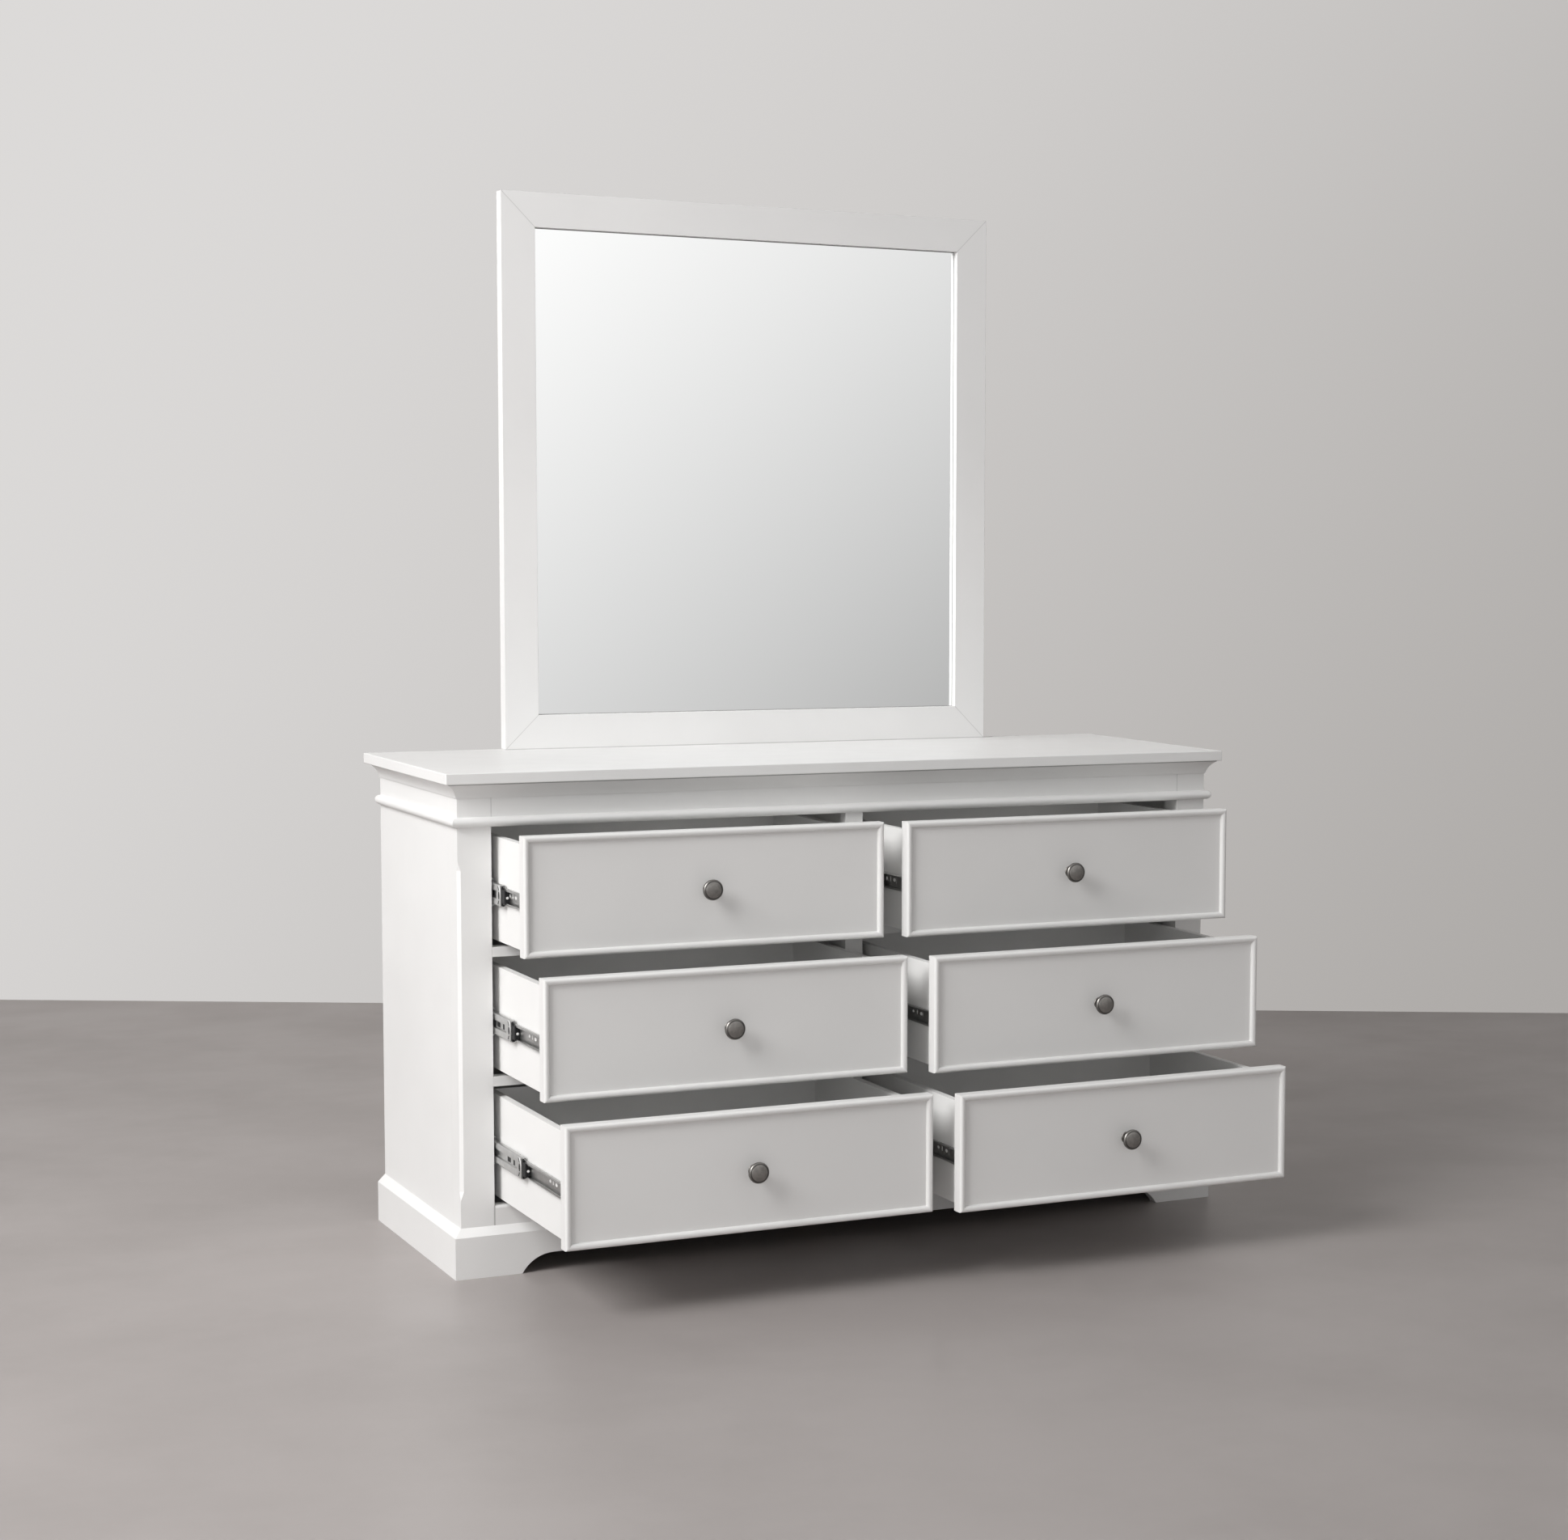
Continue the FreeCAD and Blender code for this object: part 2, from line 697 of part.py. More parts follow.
def drawerBox(name, ox, oy, oz):
    base = f"{oz} + dims.boxLift"
    leftX = f"{ox} + {boxEdge}"
    rightX = f"{ox} + {frontWidth} - {boxEdge}"
    inX = f"{ox} + {boxInner}"
    endY = f"{oy} + {boxLength}"
    slot = "dims.grooveDepth"
    parts = [
        boxSide(f"box_side_l_{name}", (leftX, oy, base), False),
        boxSide(f"box_side_r_{name}", (rightX, oy, base), True),
        boxEnd(f"box_front_{name}", (inX, oy, base), False, True),
        boxEnd(f"box_back_{name}", (inX, endY, base), True, False),
        board(f"box_bottom_{name}",
              (f"{inX} - {slot}", f"{oy} + dims.boxThick - {slot}", f"{oz} + {bottomLevel}"),
              (f"{frontWidth} - 2 * ({boxInner} - {slot})",
               f"{boxLength} - 2 * (dims.boxThick - {slot})", "dims.drawerBottom")),
    ]
    return group(f"drawer_box_{name}", parts)


def drawerKnob(name, ox, oy, oz):
    """A turned knob, with a flange, a neck and a disc flared at its back, and its screw."""
    body = newBody(f"knob_{name}")
    discBack = "(dims.knobReach - dims.knobEdge)"
    profile = outline(sketchOn(body, "Profile", "XY"), [
        ("dims.knobBore", "0"),
        ("dims.knobFlange", "0"),
        ("dims.knobFlange", "-dims.knobFlangeThick"),
        ("dims.knobNeck", "-dims.knobFlangeThick"),
        ("dims.knobNeck", f"-({discBack} - dims.knobFlare)"),
        ("dims.knobRadius", f"-{discBack}"),
        ("dims.knobRadius", "-dims.knobReach"),
        ("0", "-dims.knobReach"),
        ("0", "-dims.knobBoreDepth"),
        ("dims.knobBore", "-dims.knobBoreDepth"),
    ])
    turned = body.newObject("PartDesign::Revolution", f"knobTurned_{name}")
    turned.Profile = profile
    turned.ReferenceAxis = (profile, ["V_Axis"])
    turned.Angle = 360
    place(body, (f"{ox} + {frontWidth} / 2", f"{oy} - dims.boardThick", f"{oz} + {frontHeight} / 2"))
    screw = newBody(f"knobScrew_{name}")
    tip = "(dims.boardThick + dims.knobBoreDepth - dims.knobBoreSpare)"
    head = "(dims.boxThick + dims.screwHeadThick)"
    shank = outline(sketchOn(screw, "Profile", "XY"), [
        ("0", f"-{tip}"),
        ("dims.knobBore", f"-{tip}"),
        ("dims.knobBore", "dims.boxThick"),
        ("dims.screwHead", "dims.boxThick"),
        ("dims.screwHead", head),
        ("0", head),
    ])
    spun = screw.newObject("PartDesign::Revolution", f"screwTurned_{name}")
    spun.Profile = shank
    spun.ReferenceAxis = (shank, ["V_Axis"])
    spun.Angle = 360
    place(screw, (f"{ox} + {frontWidth} / 2", oy, f"{oz} + {frontHeight} / 2"))
    return group(f"drawer_knob_{name}", [body, screw])


def races(name, face, inward, x, y, level, length, height):
    """The two strips of ball race on a member's flanges, in the track to the next member.

    x and y give the strips' place from the opening's face and along it; height is the member's.
    """
    corner = f"{face} + {x}" if inward > 0 else f"{face} - {x} - dims.raceWidth"
    tall = "(dims.ballTrack - dims.racePlay)"
    return [
        board(f"race_{name}_{side}", (corner, y, f"{level} + {base}"), ("dims.raceWidth", length, tall))
        for side, base in (("upper", f"{height} / 2"), ("lower", f"(-{height} / 2 - {tall})"))
    ]


def plasticStop(name, corner, inward):
    """A moulded stop: a plate on the inside of the member's web, with two ears and a nose ahead."""
    body = newBody(name)
    half = f"({middleHeight} / 2 - {outerBend})"
    nose = f"({innerHeight} / 2 - dims.sheetThick - dims.stopPlay)"
    ear = "(dims.stopReach - dims.stopEar)"
    shape = outline(sketchOn(body, "Shape", "YZ"), [
        ("0", f"-{nose}"),
        (ear, f"-{nose}"),
        (ear, f"-{half}"),
        ("dims.stopLength", f"-{half}"),
        ("dims.stopLength", half),
        (ear, half),
        (ear, nose),
        ("0", nose),
    ])
    pad(body, shape, "dims.stopThick", reverse=inward < 0)
    place(body, corner)
    return body


def movingSlides(name, column, oy, shift, level):
    """The pair of drawer members and the pair of middle members with their plastic stops."""
    inner = []
    middle = []
    innerFront = f"({oy} + dims.slideSetBack)"
    middleFront = f"({slideFront} + dims.stopReach - {shift} / 2)"
    innerRaceAt = f"({innerFront} + {slideLength} - dims.raceEnd - dims.drawerRaceLength)"
    middleRaceAt = f"({middleFront} + {middleLength} - dims.raceEnd - dims.cabinetRaceLength)"
    for side, face, inward, flip in sides(column):
        inner.append(channel(f"inner_{name}_{side}", innerHeight, innerReach, slideLength,
                             (f"{face} + ({inward}) * dims.slideThick", innerFront, level), not flip))
        innerRaceX = f"(dims.slideThick - {innerReach} + {outerBend})"
        inner += races(f"inner_{name}_{side}", face, inward, innerRaceX, innerRaceAt, level,
                       "dims.drawerRaceLength", innerHeight)
        web = f"({face} + ({inward}) * dims.middleStandOff)"
        middle.append(channel(f"middle_{name}_{side}", middleHeight, middleReach, middleLength,
                              (web, middleFront, level), flip))
        middle += races(f"middle_{name}_{side}", face, inward, f"(dims.middleStandOff + {outerBend})",
                        middleRaceAt, level, "dims.cabinetRaceLength", middleHeight)
        stopX = f"({face} + ({inward}) * {stopLevel})"
        middle.append(plasticStop(f"stop_{name}_{side}",
                                  (stopX, f"{middleFront} - dims.stopReach", level), inward))
    group(f"drawer_rails_{name}", inner)
    group(f"slide_middle_{name}", middle)


for row in rows:
    for column in columns:
        name = f"{row}_{column}"
        shift = f"dims.rest{row.capitalize()}{column.capitalize()}"
        ox = f"({openLeft(column)} + dims.drawerGap)"
        oy = f"({front} + dims.boardThick - {shift})"
        oz = frontBase(row)
        drawerFront(name, (ox, oy, oz))
        drawerBox(name, ox, oy, oz)
        drawerKnob(name, ox, oy, oz)
        movingSlides(name, column, oy, shift, f"({oz} + dims.slideLift)")

# top and mouldings


def moulding(name, out, tall, level, profile):
    """A moulding round the front and both sides, mitred at the front corners.

    The section's corners are given with its wall at x = out and its outermost point at 0.
    """
    run = f"(dims.bodyWidth + 2 * {out})"
    across = newBody(f"{name}_front")
    pad(across, outline(sketchOn(across, "Section", "YZ"), profile), run)
    mitre(across, "MitreLeft", out, tall, start="0")
    mitre(across, "MitreRight", out, tall, start=run, sign=-1)
    place(across, (f"-{halfBody} - {out}", f"{front} - {out}", level))
    along = newBody(f"{name}_left")
    pad(along, outline(sketchOn(along, "Section", "XZ"), profile),
        f"dims.bodyDepth + {out}", reverse=True)
    mitre(along, "Mitre", out, tall)
    place(along, (f"-{halfBody} - {out}", f"{front} - {out}", level))
    return group(name, [across, along, mirrored(f"{name}_right", along)])


# a shallow hollow that leans out from the frieze to the underside of the top
coveProfile = [
    ("dims.coveOut", "0"),
    ("dims.coveOut", "dims.coveHeight"),
    ("0", "dims.coveHeight"),
    ("0", "dims.coveHeight - dims.coveFillet", "dims.coveCurve", -1),
    ("dims.coveOut - dims.coveFillet", "0"),
]

# a flattened half-round
beadNose = "(dims.beadHeight / 2)"
beadProfile = [
    (beadOut, "0"),
    (beadOut, "dims.beadHeight"),
    (beadNose, "dims.beadHeight", beadNose, 1),
    ("0", beadNose, beadNose, 1),
    (beadNose, "0"),
]


def topPanel():
    """The top board, which overhangs the carcass all round and has its arrises broken."""
    body = newBody("top_panel")
    wide = "(dims.bodyWidth + 2 * dims.slabOver)"
    deep = f"({slabBack} - {front} + dims.slabOver)"
    shape = outline(sketchOn(body, "Shape", "XY"), rectangle("0", "0", wide, deep))
    blank = pad(body, shape, "dims.slabThick")
    soften(body, "Chamfer", blank, "dims.slabArris", lambda p: True)
    place(body, (f"-{wide} / 2", f"{front} - dims.slabOver", slabUnder))
    return node(body)


topPanel()
moulding("cove_moulding", "dims.coveOut", "dims.coveHeight", coveBase, coveProfile)
moulding("bead_moulding", beadOut, "dims.beadHeight", beadBase, beadProfile)

# mirror

mirrorBack = slabBack
mirrorFront = f"({mirrorBack} - dims.mirrorThick)"
supportTop = "(dims.topHeight + dims.mirrorHeight - dims.supportShort)"
supportX = "(dims.mirrorWidth / 2 - dims.supportInset - dims.supportWidth / 2)"
screwLevels = {
    "carcass": f"({slabUnder} - dims.backRailHeight / 2)",
    "low": "(dims.topHeight + dims.screwLow)",
    "high": f"({supportTop} - dims.screwFromEnd)",
}


def frameMember(name, length, corner, turn):
    """One side of the frame: a rebated board with both ends mitred."""
    body = newBody(name)
    inner = "(dims.mirrorFrame - dims.mirrorRebate)"
    section = outline(sketchOn(body, "Section", "XY"), [
        ("0", "0"),
        ("dims.mirrorFrame", "0"),
        ("dims.mirrorFrame", "dims.mirrorRecess"),
        (inner, "dims.mirrorRecess"),
        (inner, "dims.mirrorThick"),
        ("0", "dims.mirrorThick"),
    ])
    pad(body, section, length)
    mitre(body, "MitreLow", "dims.mirrorFrame", "dims.mirrorThick", plane="XZ")
    over = f"(dims.mirrorFrame + {cutOver})"
    end = f"{length} + {cutOver}"
    high = [(f"-{cutOver}", end), (over, end), (over, f"{length} - {over}")]
    pocket(body, outline(sketchOn(body, "MitreHigh", "XZ"), high), "dims.mirrorThick")
    place(body, corner, FreeCAD.Rotation(FreeCAD.Vector(0, 1, 0), turn))
    return body


def supportBores(x, y, names, length):
    return [(x, y, screwLevels[name], length) for name in names]


halfMirror = "(dims.mirrorWidth / 2)"
mirrorTop = "(dims.topHeight + dims.mirrorHeight)"
bite = "dims.supportScrewBite"
stileLeft = frameMember("frame_stile_left", "dims.mirrorHeight",
                        (f"-{halfMirror}", mirrorFront, "dims.topHeight"), 0)
boredStile = drilled("mirror_stile_left", stileLeft,
                     supportBores(f"-{supportX}", f"{mirrorBack} - {bite}", ("low", "high"), bite),
                     "dims.supportScrew")
node(boredStile)
node(mirrored("mirror_stile_right", boredStile))
node(frameMember("mirror_rail_bottom", "dims.mirrorWidth",
                 (halfMirror, mirrorFront, "dims.topHeight"), -90))
node(frameMember("mirror_rail_top", "dims.mirrorWidth", (f"-{halfMirror}", mirrorFront, mirrorTop), 90))

seat = "(dims.mirrorFrame - dims.mirrorRebate + dims.glassPlay)"
paneCorner = (f"-{halfMirror} + {seat}", f"dims.topHeight + {seat}")
paneSize = (f"dims.mirrorWidth - 2 * {seat}", f"dims.mirrorHeight - 2 * {seat}")
glassY = f"({mirrorFront} + dims.mirrorRecess)"
node(board("mirror_glass", (paneCorner[0], glassY, paneCorner[1]),
           (paneSize[0], "dims.glassThick", paneSize[1])))
node(board("mirror_backing", (paneCorner[0], f"{glassY} + dims.glassThick", paneCorner[1]),
           (paneSize[0], "dims.mountBoard", paneSize[1])))

# the supports stand behind the top's edge, on spacers as thick as its overhang
supportBase = f"({slabUnder} - dims.supportDrop)"
spacer = board("support_spacer_left",
               (f"-{supportX} - dims.supportWidth / 2", back, f"{slabUnder} - dims.spacerHeight"),
               ("dims.supportWidth", "dims.slabRear", "dims.spacerHeight"))
upright = board("support_upright_left",
                (f"-{supportX} - dims.supportWidth / 2", slabBack, supportBase),
                ("dims.supportWidth", "dims.supportThick",
                 f"{supportTop} - {supportBase}"))
boredUpright = drilled("bored_upright", upright,
                       supportBores(f"-{supportX}", slabBack, tuple(screwLevels), "dims.supportThick"),
                       "dims.supportScrew")
boredSpacer = drilled("bored_spacer", spacer,
                      supportBores(f"-{supportX}", back, ("carcass",), "dims.slabRear"),
                      "dims.supportScrew")
group("mirror_supports", [boredUpright, boredSpacer, mirrored("upright_right", boredUpright),
                          mirrored("spacer_right", boredSpacer)])


def supportScrew(name, level, tip):
    """A round-headed screw driven from behind, with its tip at a place along Y."""
    body = newBody(name)
    length = f"({slabBack} + dims.supportThick - {tip})"
    shank = outline(sketchOn(body, "Profile", "XY"), [
        ("0", "0"),
        ("dims.supportScrew", "0"),
        ("dims.supportScrew", length),
        ("dims.supportScrewHead", length),
        ("dims.supportScrewHead", f"{length} + dims.screwHeadThick"),
        ("0", f"{length} + dims.screwHeadThick"),
    ])
    turned = body.newObject("PartDesign::Revolution", f"{name}_turned")
    turned.Profile = shank
    turned.ReferenceAxis = (shank, ["V_Axis"])
    turned.Angle = 360
    place(body, (f"-{supportX}", tip, level))
    return body


railFront = f"({panelBack} - dims.frameThick)"
tips = {
    "carcass": f"({back} - {bite})",
    "low": f"({mirrorBack} - {bite})",
    "high": f"({mirrorBack} - {bite})",
}
screws = []
for name, level in screwLevels.items():
    screw = supportScrew(f"screw_{name}", level, tips[name])
    screws += [screw, mirrored(f"screw_{name}_right", screw)]
group("support_screws", screws)

# the back panel and the rail behind the top take the lowest pair of screws
backBores = supportBores(f"-{supportX}", panelBack, ("carcass",), "dims.backThick")
backBores += supportBores(supportX, panelBack, ("carcass",), "dims.backThick")
backBoard = board("back_board", (f"-{panelInner}", panelBack, carcassBase),
                  (f"2 * {panelInner}", "dims.backThick", carcassHeight))
node(drilled("back_panel", backBoard, backBores, "dims.supportScrew"))
backRail = board("back_rail_blank", (f"-{panelInner}", railFront, f"{slabUnder} - dims.backRailHeight"),
                 (f"{panelInner} - {partitionHalf}", "dims.frameThick", "dims.backRailHeight"))
boredRail = drilled("back_rail_left", backRail,
                    supportBores(f"-{supportX}", f"{back} - {bite}", ("carcass",),
                                 f"{bite} - dims.backThick"), "dims.supportScrew")
group("back_rails", [boredRail, mirrored("back_rail_right", boredRail)])

# checks and export

doc.recompute()
for thing in doc.Objects:
    if "Invalid" in thing.State or "Error" in thing.State:
        raise SystemExit(f"{thing.Label} failed: {thing.State}")
for piece in nodes:
    if piece.Shape.isNull() or not piece.Shape.isValid():
        raise SystemExit(f"{piece.Label} has no valid shape")

os.makedirs("parts", exist_ok=True)
for piece in nodes:
    piece.Shape.exportStep(f"parts/{piece.Label}.step")
print(f"{len(nodes)} nodes written")
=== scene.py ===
import math

import bpy
import numpy as np
from mathutils import Matrix, Vector


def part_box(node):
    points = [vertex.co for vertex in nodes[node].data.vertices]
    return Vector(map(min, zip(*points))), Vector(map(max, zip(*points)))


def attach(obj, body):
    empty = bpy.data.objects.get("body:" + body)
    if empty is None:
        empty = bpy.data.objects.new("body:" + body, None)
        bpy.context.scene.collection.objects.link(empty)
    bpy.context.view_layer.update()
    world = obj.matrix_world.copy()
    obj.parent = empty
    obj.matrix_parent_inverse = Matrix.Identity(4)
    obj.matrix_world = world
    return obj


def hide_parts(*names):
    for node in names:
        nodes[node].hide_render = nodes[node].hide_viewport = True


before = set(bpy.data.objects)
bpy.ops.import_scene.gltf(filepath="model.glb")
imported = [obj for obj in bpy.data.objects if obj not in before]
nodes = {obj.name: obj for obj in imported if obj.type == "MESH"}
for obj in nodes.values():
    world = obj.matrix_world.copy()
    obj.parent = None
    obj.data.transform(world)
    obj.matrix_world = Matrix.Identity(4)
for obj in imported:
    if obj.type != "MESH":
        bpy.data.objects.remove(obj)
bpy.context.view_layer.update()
scene = bpy.context.scene
print("frame loaded with", len(nodes), "nodes")


# the camera

viewpoint = {
    "place": (-2.04254, -4.88494, 1.20936),
    "turn": 28.0854,                   # degrees from +Y towards +X
    "tilt": -5.1198,
    "roll": 0.4908,
    "focal": 3659.31,                  # in pixels of the image
    "axisOffset": (365.69, 42.25),     # lens axis from the image's middle, right and down, in pixels
    "imageWide": 1939,
}


def lookDirections(view):
    # forward, right and up of the camera, turned on Z, tilted, then rolled about the line of sight
    turn, tilt, roll = (math.radians(view[k]) for k in ("turn", "tilt", "roll"))
    forward = Vector((math.sin(turn) * math.cos(tilt), math.cos(turn) * math.cos(tilt), math.sin(tilt)))
    right = forward.cross(Vector((0, 0, 1))).normalized()
    up = right.cross(forward)
    return (forward, right * math.cos(roll) + up * math.sin(roll),
            up * math.cos(roll) - right * math.sin(roll))


def placeCamera(view):
    forward, right, up = lookDirections(view)
    lens = bpy.data.cameras.new("frontLens")
    lens.sensor_width = 36
    lens.lens = view["focal"] / view["imageWide"] * lens.sensor_width
    lens.shift_x = -view["axisOffset"][0] / view["imageWide"]
    lens.shift_y = view["axisOffset"][1] / view["imageWide"]
    camera = bpy.data.objects.new("frontCamera", lens)
    turned = Matrix((right, up, -forward)).transposed()
    camera.matrix_world = Matrix.Translation(view["place"]) @ turned.to_4x4()
    scene.collection.objects.link(camera)
    scene.camera = camera


placeCamera(viewpoint)
print("camera placed")


# small tools for shader nodes

def addNode(tree, kind, inputs=None, **settings):
    # a node with its settings, whose inputs are given values or linked sockets
    made = tree.nodes.new(kind)
    for key, value in settings.items():
        setattr(made, key, value)
    for key, value in (inputs or {}).items():
        if isinstance(value, bpy.types.NodeSocket):
            tree.links.new(value, made.inputs[key])
        else:
            made.inputs[key].default_value = value
    return made


def calc(tree, operation, a, b=0.0, c=0.0):
    return addNode(tree, "ShaderNodeMath", {0: a, 1: b, 2: c}, operation=operation).outputs[0]


def rescale(tree, value, low, high, toLow=0.0, toHigh=1.0):
    # value from low..high becomes toLow..toHigh with soft ends
    made = addNode(tree, "ShaderNodeMapRange",
                   {"Value": value, "From Min": low, "From Max": high, "To Min": toLow, "To Max": toHigh},
                   interpolation_type="SMOOTHSTEP")
    return made.outputs["Result"]


def mixColour(tree, factor, a, b, how="MIX"):
    made = addNode(tree, "ShaderNodeMix", {0: factor, 6: a, 7: b}, data_type="RGBA", blend_type=how)
    return made.outputs[2]


def grey(tree, tone):
    return addNode(tree, "ShaderNodeCombineColor", {0: tone, 1: tone, 2: tone}).outputs[0]


def drift(tree, value, low=0.3, high=0.7, reach=1.0):
    # a noise from low..high becomes -reach..reach
    return rescale(tree, value, low, high, -reach, reach)


def attribute(tree, name):
    return addNode(tree, "ShaderNodeAttribute", attribute_name=name).outputs["Fac"]


def objectPlace(tree, stretch=(1.0, 1.0, 1.0)):
    at = addNode(tree, "ShaderNodeTexCoord").outputs["Object"]
    return addNode(tree, "ShaderNodeMapping", {"Vector": at, "Scale": stretch}).outputs["Vector"]


def axesOf(tree):
    at = addNode(tree, "ShaderNodeTexCoord").outputs["Object"]
    return addNode(tree, "ShaderNodeSeparateXYZ", {0: at}).outputs


def noise(tree, at, scale, detail=2.0, rough=0.5):
    return addNode(tree, "ShaderNodeTexNoise",
                   {"Vector": at, "Scale": scale, "Detail": detail, "Roughness": rough}).outputs["Fac"]


def bumpOf(tree, height, distance, normal=None):
    inputs = {"Height": height, "Distance": distance, "Strength": 1.0}
    if normal:
        inputs["Normal"] = normal
    return addNode(tree, "ShaderNodeBump", inputs).outputs["Normal"]


def newGroup(name, takes, gives):
    # an empty node group with named inputs, as (label, kind, value), and outputs, as (label, kind)
    group = bpy.data.node_groups.new(name, "ShaderNodeTree")
    for label, kind, value in takes:
        group.interface.new_socket(label, in_out="INPUT", socket_type=kind).default_value = value
    for label, kind in gives:
        group.interface.new_socket(label, in_out="OUTPUT", socket_type=kind)
    return group, group.nodes.new("NodeGroupInput"), group.nodes.new("NodeGroupOutput")


def give(group, out, values):
    for label, socket in values.items():
        group.links.new(socket, out.inputs[label])


def place(tree, group, inputs=None):
    return addNode(tree, "ShaderNodeGroup", inputs, node_tree=group).outputs


def newFinish(name, **shaderValues):
    # a material with one Principled shader whose plain values are set on its own sockets
    material = bpy.data.materials.new(name)
    material.use_nodes = True
    tree = material.node_tree
    tree.nodes.clear()
    shader = tree.nodes.new("ShaderNodeBsdfPrincipled")
    for key, value in shaderValues.items():
        shader.inputs[key.replace("_", " ")].default_value = value
    out = tree.nodes.new("ShaderNodeOutputMaterial")
    tree.links.new(shader.outputs[0], out.inputs["Surface"])
    return material, tree, shader


def feed(tree, shader, **values):
    for key, socket in values.items():
        tree.links.new(socket, shader.inputs[key.replace("_", " ")])


colourKind, floatKind, vectorKind = "NodeSocketColor", "NodeSocketFloat", "NodeSocketVector"


# effects that several finishes share

filmLook = {                   # patterns of a sprayed film, as noise scales
    "drift": 2.6,
    "ripple": 150.0,
    "peel": 620.0,
    "peelShare": 0.35,
    "cloud": 17.0,
    "cloudReach": 0.03,        # how far the clouds move the roughness
}
stripLook = {                  # patterns of a rolled steel strip
    "lines": 1300.0,
    "scaleY": 0.015,           # draws the lines out along Y
    "lineRough": 0.16,
    "cloud": 60.0,
    "cloudShare": 0.06,
    "rough": 0.26,
    "height": 0.00001,
}
grainLook = {                  # patterns of sawn wood
    "stripes": 34.0,
    "pores": 330.0,
    "poreShare": 0.5,
}


def makeSprayFilm():
    # a sprayed film: low ripples a few millimetres apart, a finer peel on them, a slow drift of tone
    group, given, out = newGroup(
        "sprayFilm",
        [("Colour", colourKind, (0.8, 0.8, 0.8, 1)), ("Drift", floatKind, 0.02),
         ("Roughness", floatKind, 0.4)],
        [("Colour", colourKind), ("Roughness", floatKind), ("Height", floatKind)])
    at = objectPlace(group)
    slow = drift(group, noise(group, at, filmLook["drift"], 3.0))
    tone = calc(group, "MULTIPLY_ADD", slow, given.outputs["Drift"], 1.0)
    ripple = noise(group, at, filmLook["ripple"], 1.0)
    peel = noise(group, at, filmLook["peel"], 2.0)
    cloud = drift(group, noise(group, at, filmLook["cloud"], 4.0), 0.35, 0.65, filmLook["cloudReach"])
    give(group, out, {
        "Colour": mixColour(group, 1.0, given.outputs["Colour"], grey(group, tone), "MULTIPLY"),
        "Roughness": calc(group, "ADD", given.outputs["Roughness"], cloud),
        "Height": calc(group, "MULTIPLY_ADD", peel, filmLook["peelShare"], ripple),
    })
    return group


def makeEased():
    # corners eased by sanding: a rounded normal near them, and a mask that is 1 on the corner itself
    group, given, out = newGroup("easedCorners", [("Radius", floatKind, 0.001)],
                                 [("Normal", vectorKind), ("Corner", floatKind)])
    rounded = addNode(group, "ShaderNodeBevel", {"Radius": given.outputs["Radius"]}, samples=4)
    flat = addNode(group, "ShaderNodeNewGeometry").outputs["Normal"]
    along = addNode(group, "ShaderNodeVectorMath", {0: rounded.outputs[0], 1: flat},
                    operation="DOT_PRODUCT").outputs["Value"]
    give(group, out, {"Normal": rounded.outputs[0], "Corner": rescale(group, along, 0.995, 0.75)})
    return group


def makeHairline():
    # a closed joint, also used for lines of painted shade: 1 up to three tenths of the width away from it, 0
    # from seven tenths on
    group, given, out = newGroup("hairline", [("Distance", floatKind, 0.0), ("Width", floatKind, 0.0008)],
                                 [("Line", floatKind)])
    away = calc(group, "ABSOLUTE", given.outputs["Distance"])
    part = calc(group, "DIVIDE", away, given.outputs["Width"])
    give(group, out, {"Line": rescale(group, part, 0.7, 0.3)})
    return group


def makeRolledSteel():
    # drawing lines of a rolled strip, long in Y, with a faint cloud in the plating
    group, given, out = newGroup(
        "rolledStrip", [("Colour", colourKind, (0.6, 0.6, 0.6, 1)), ("Roughness", floatKind, 0.3)],
        [("Colour", colourKind), ("Roughness", floatKind), ("Height", floatKind)])
    lines = noise(group, objectPlace(group, (1.0, stripLook["scaleY"], 1.0)), stripLook["lines"], 3.0)
    cloud = noise(group, objectPlace(group), stripLook["cloud"], 3.0)
    tone = calc(group, "MULTIPLY_ADD", drift(group, cloud), stripLook["cloudShare"], 1.0)
    give(group, out, {
        "Colour": mixColour(group, 1.0, given.outputs["Colour"], grey(group, tone), "MULTIPLY"),
        "Roughness": calc(group, "MULTIPLY_ADD", lines, stripLook["lineRough"], given.outputs["Roughness"]),
        "Height": lines,
    })
    return group


def makeSawnGrain():
    # long grain: rings cut into wavy stripes along one way, darker late wood, fine pores
    group, given, out = newGroup(
        "sawnGrain",
        [("Vector", vectorKind, (0, 0, 0)), ("Early", colourKind, (0.6, 0.45, 0.28, 1)),
         ("Late", colourKind, (0.42, 0.27, 0.14, 1))],
        [("Colour", colourKind), ("Height", floatKind)])
    at = given.outputs["Vector"]
    stripes = noise(group, at, grainLook["stripes"], 4.0, 0.6)
    pores = noise(group, at, grainLook["pores"], 2.0)
    late = rescale(group, stripes, 0.42, 0.66)
    give(group, out, {
        "Colour": mixColour(group, late, given.outputs["Early"], given.outputs["Late"]),
        "Height": calc(group, "MULTIPLY_ADD", pores, grainLook["poreShare"], late),
    })
    return group


sprayFilm = makeSprayFilm()
easedCorners = makeEased()
hairline = makeHairline()
rolledStrip = makeRolledSteel()
sawnGrain = makeSawnGrain()
print("shared effects made")


# finishes

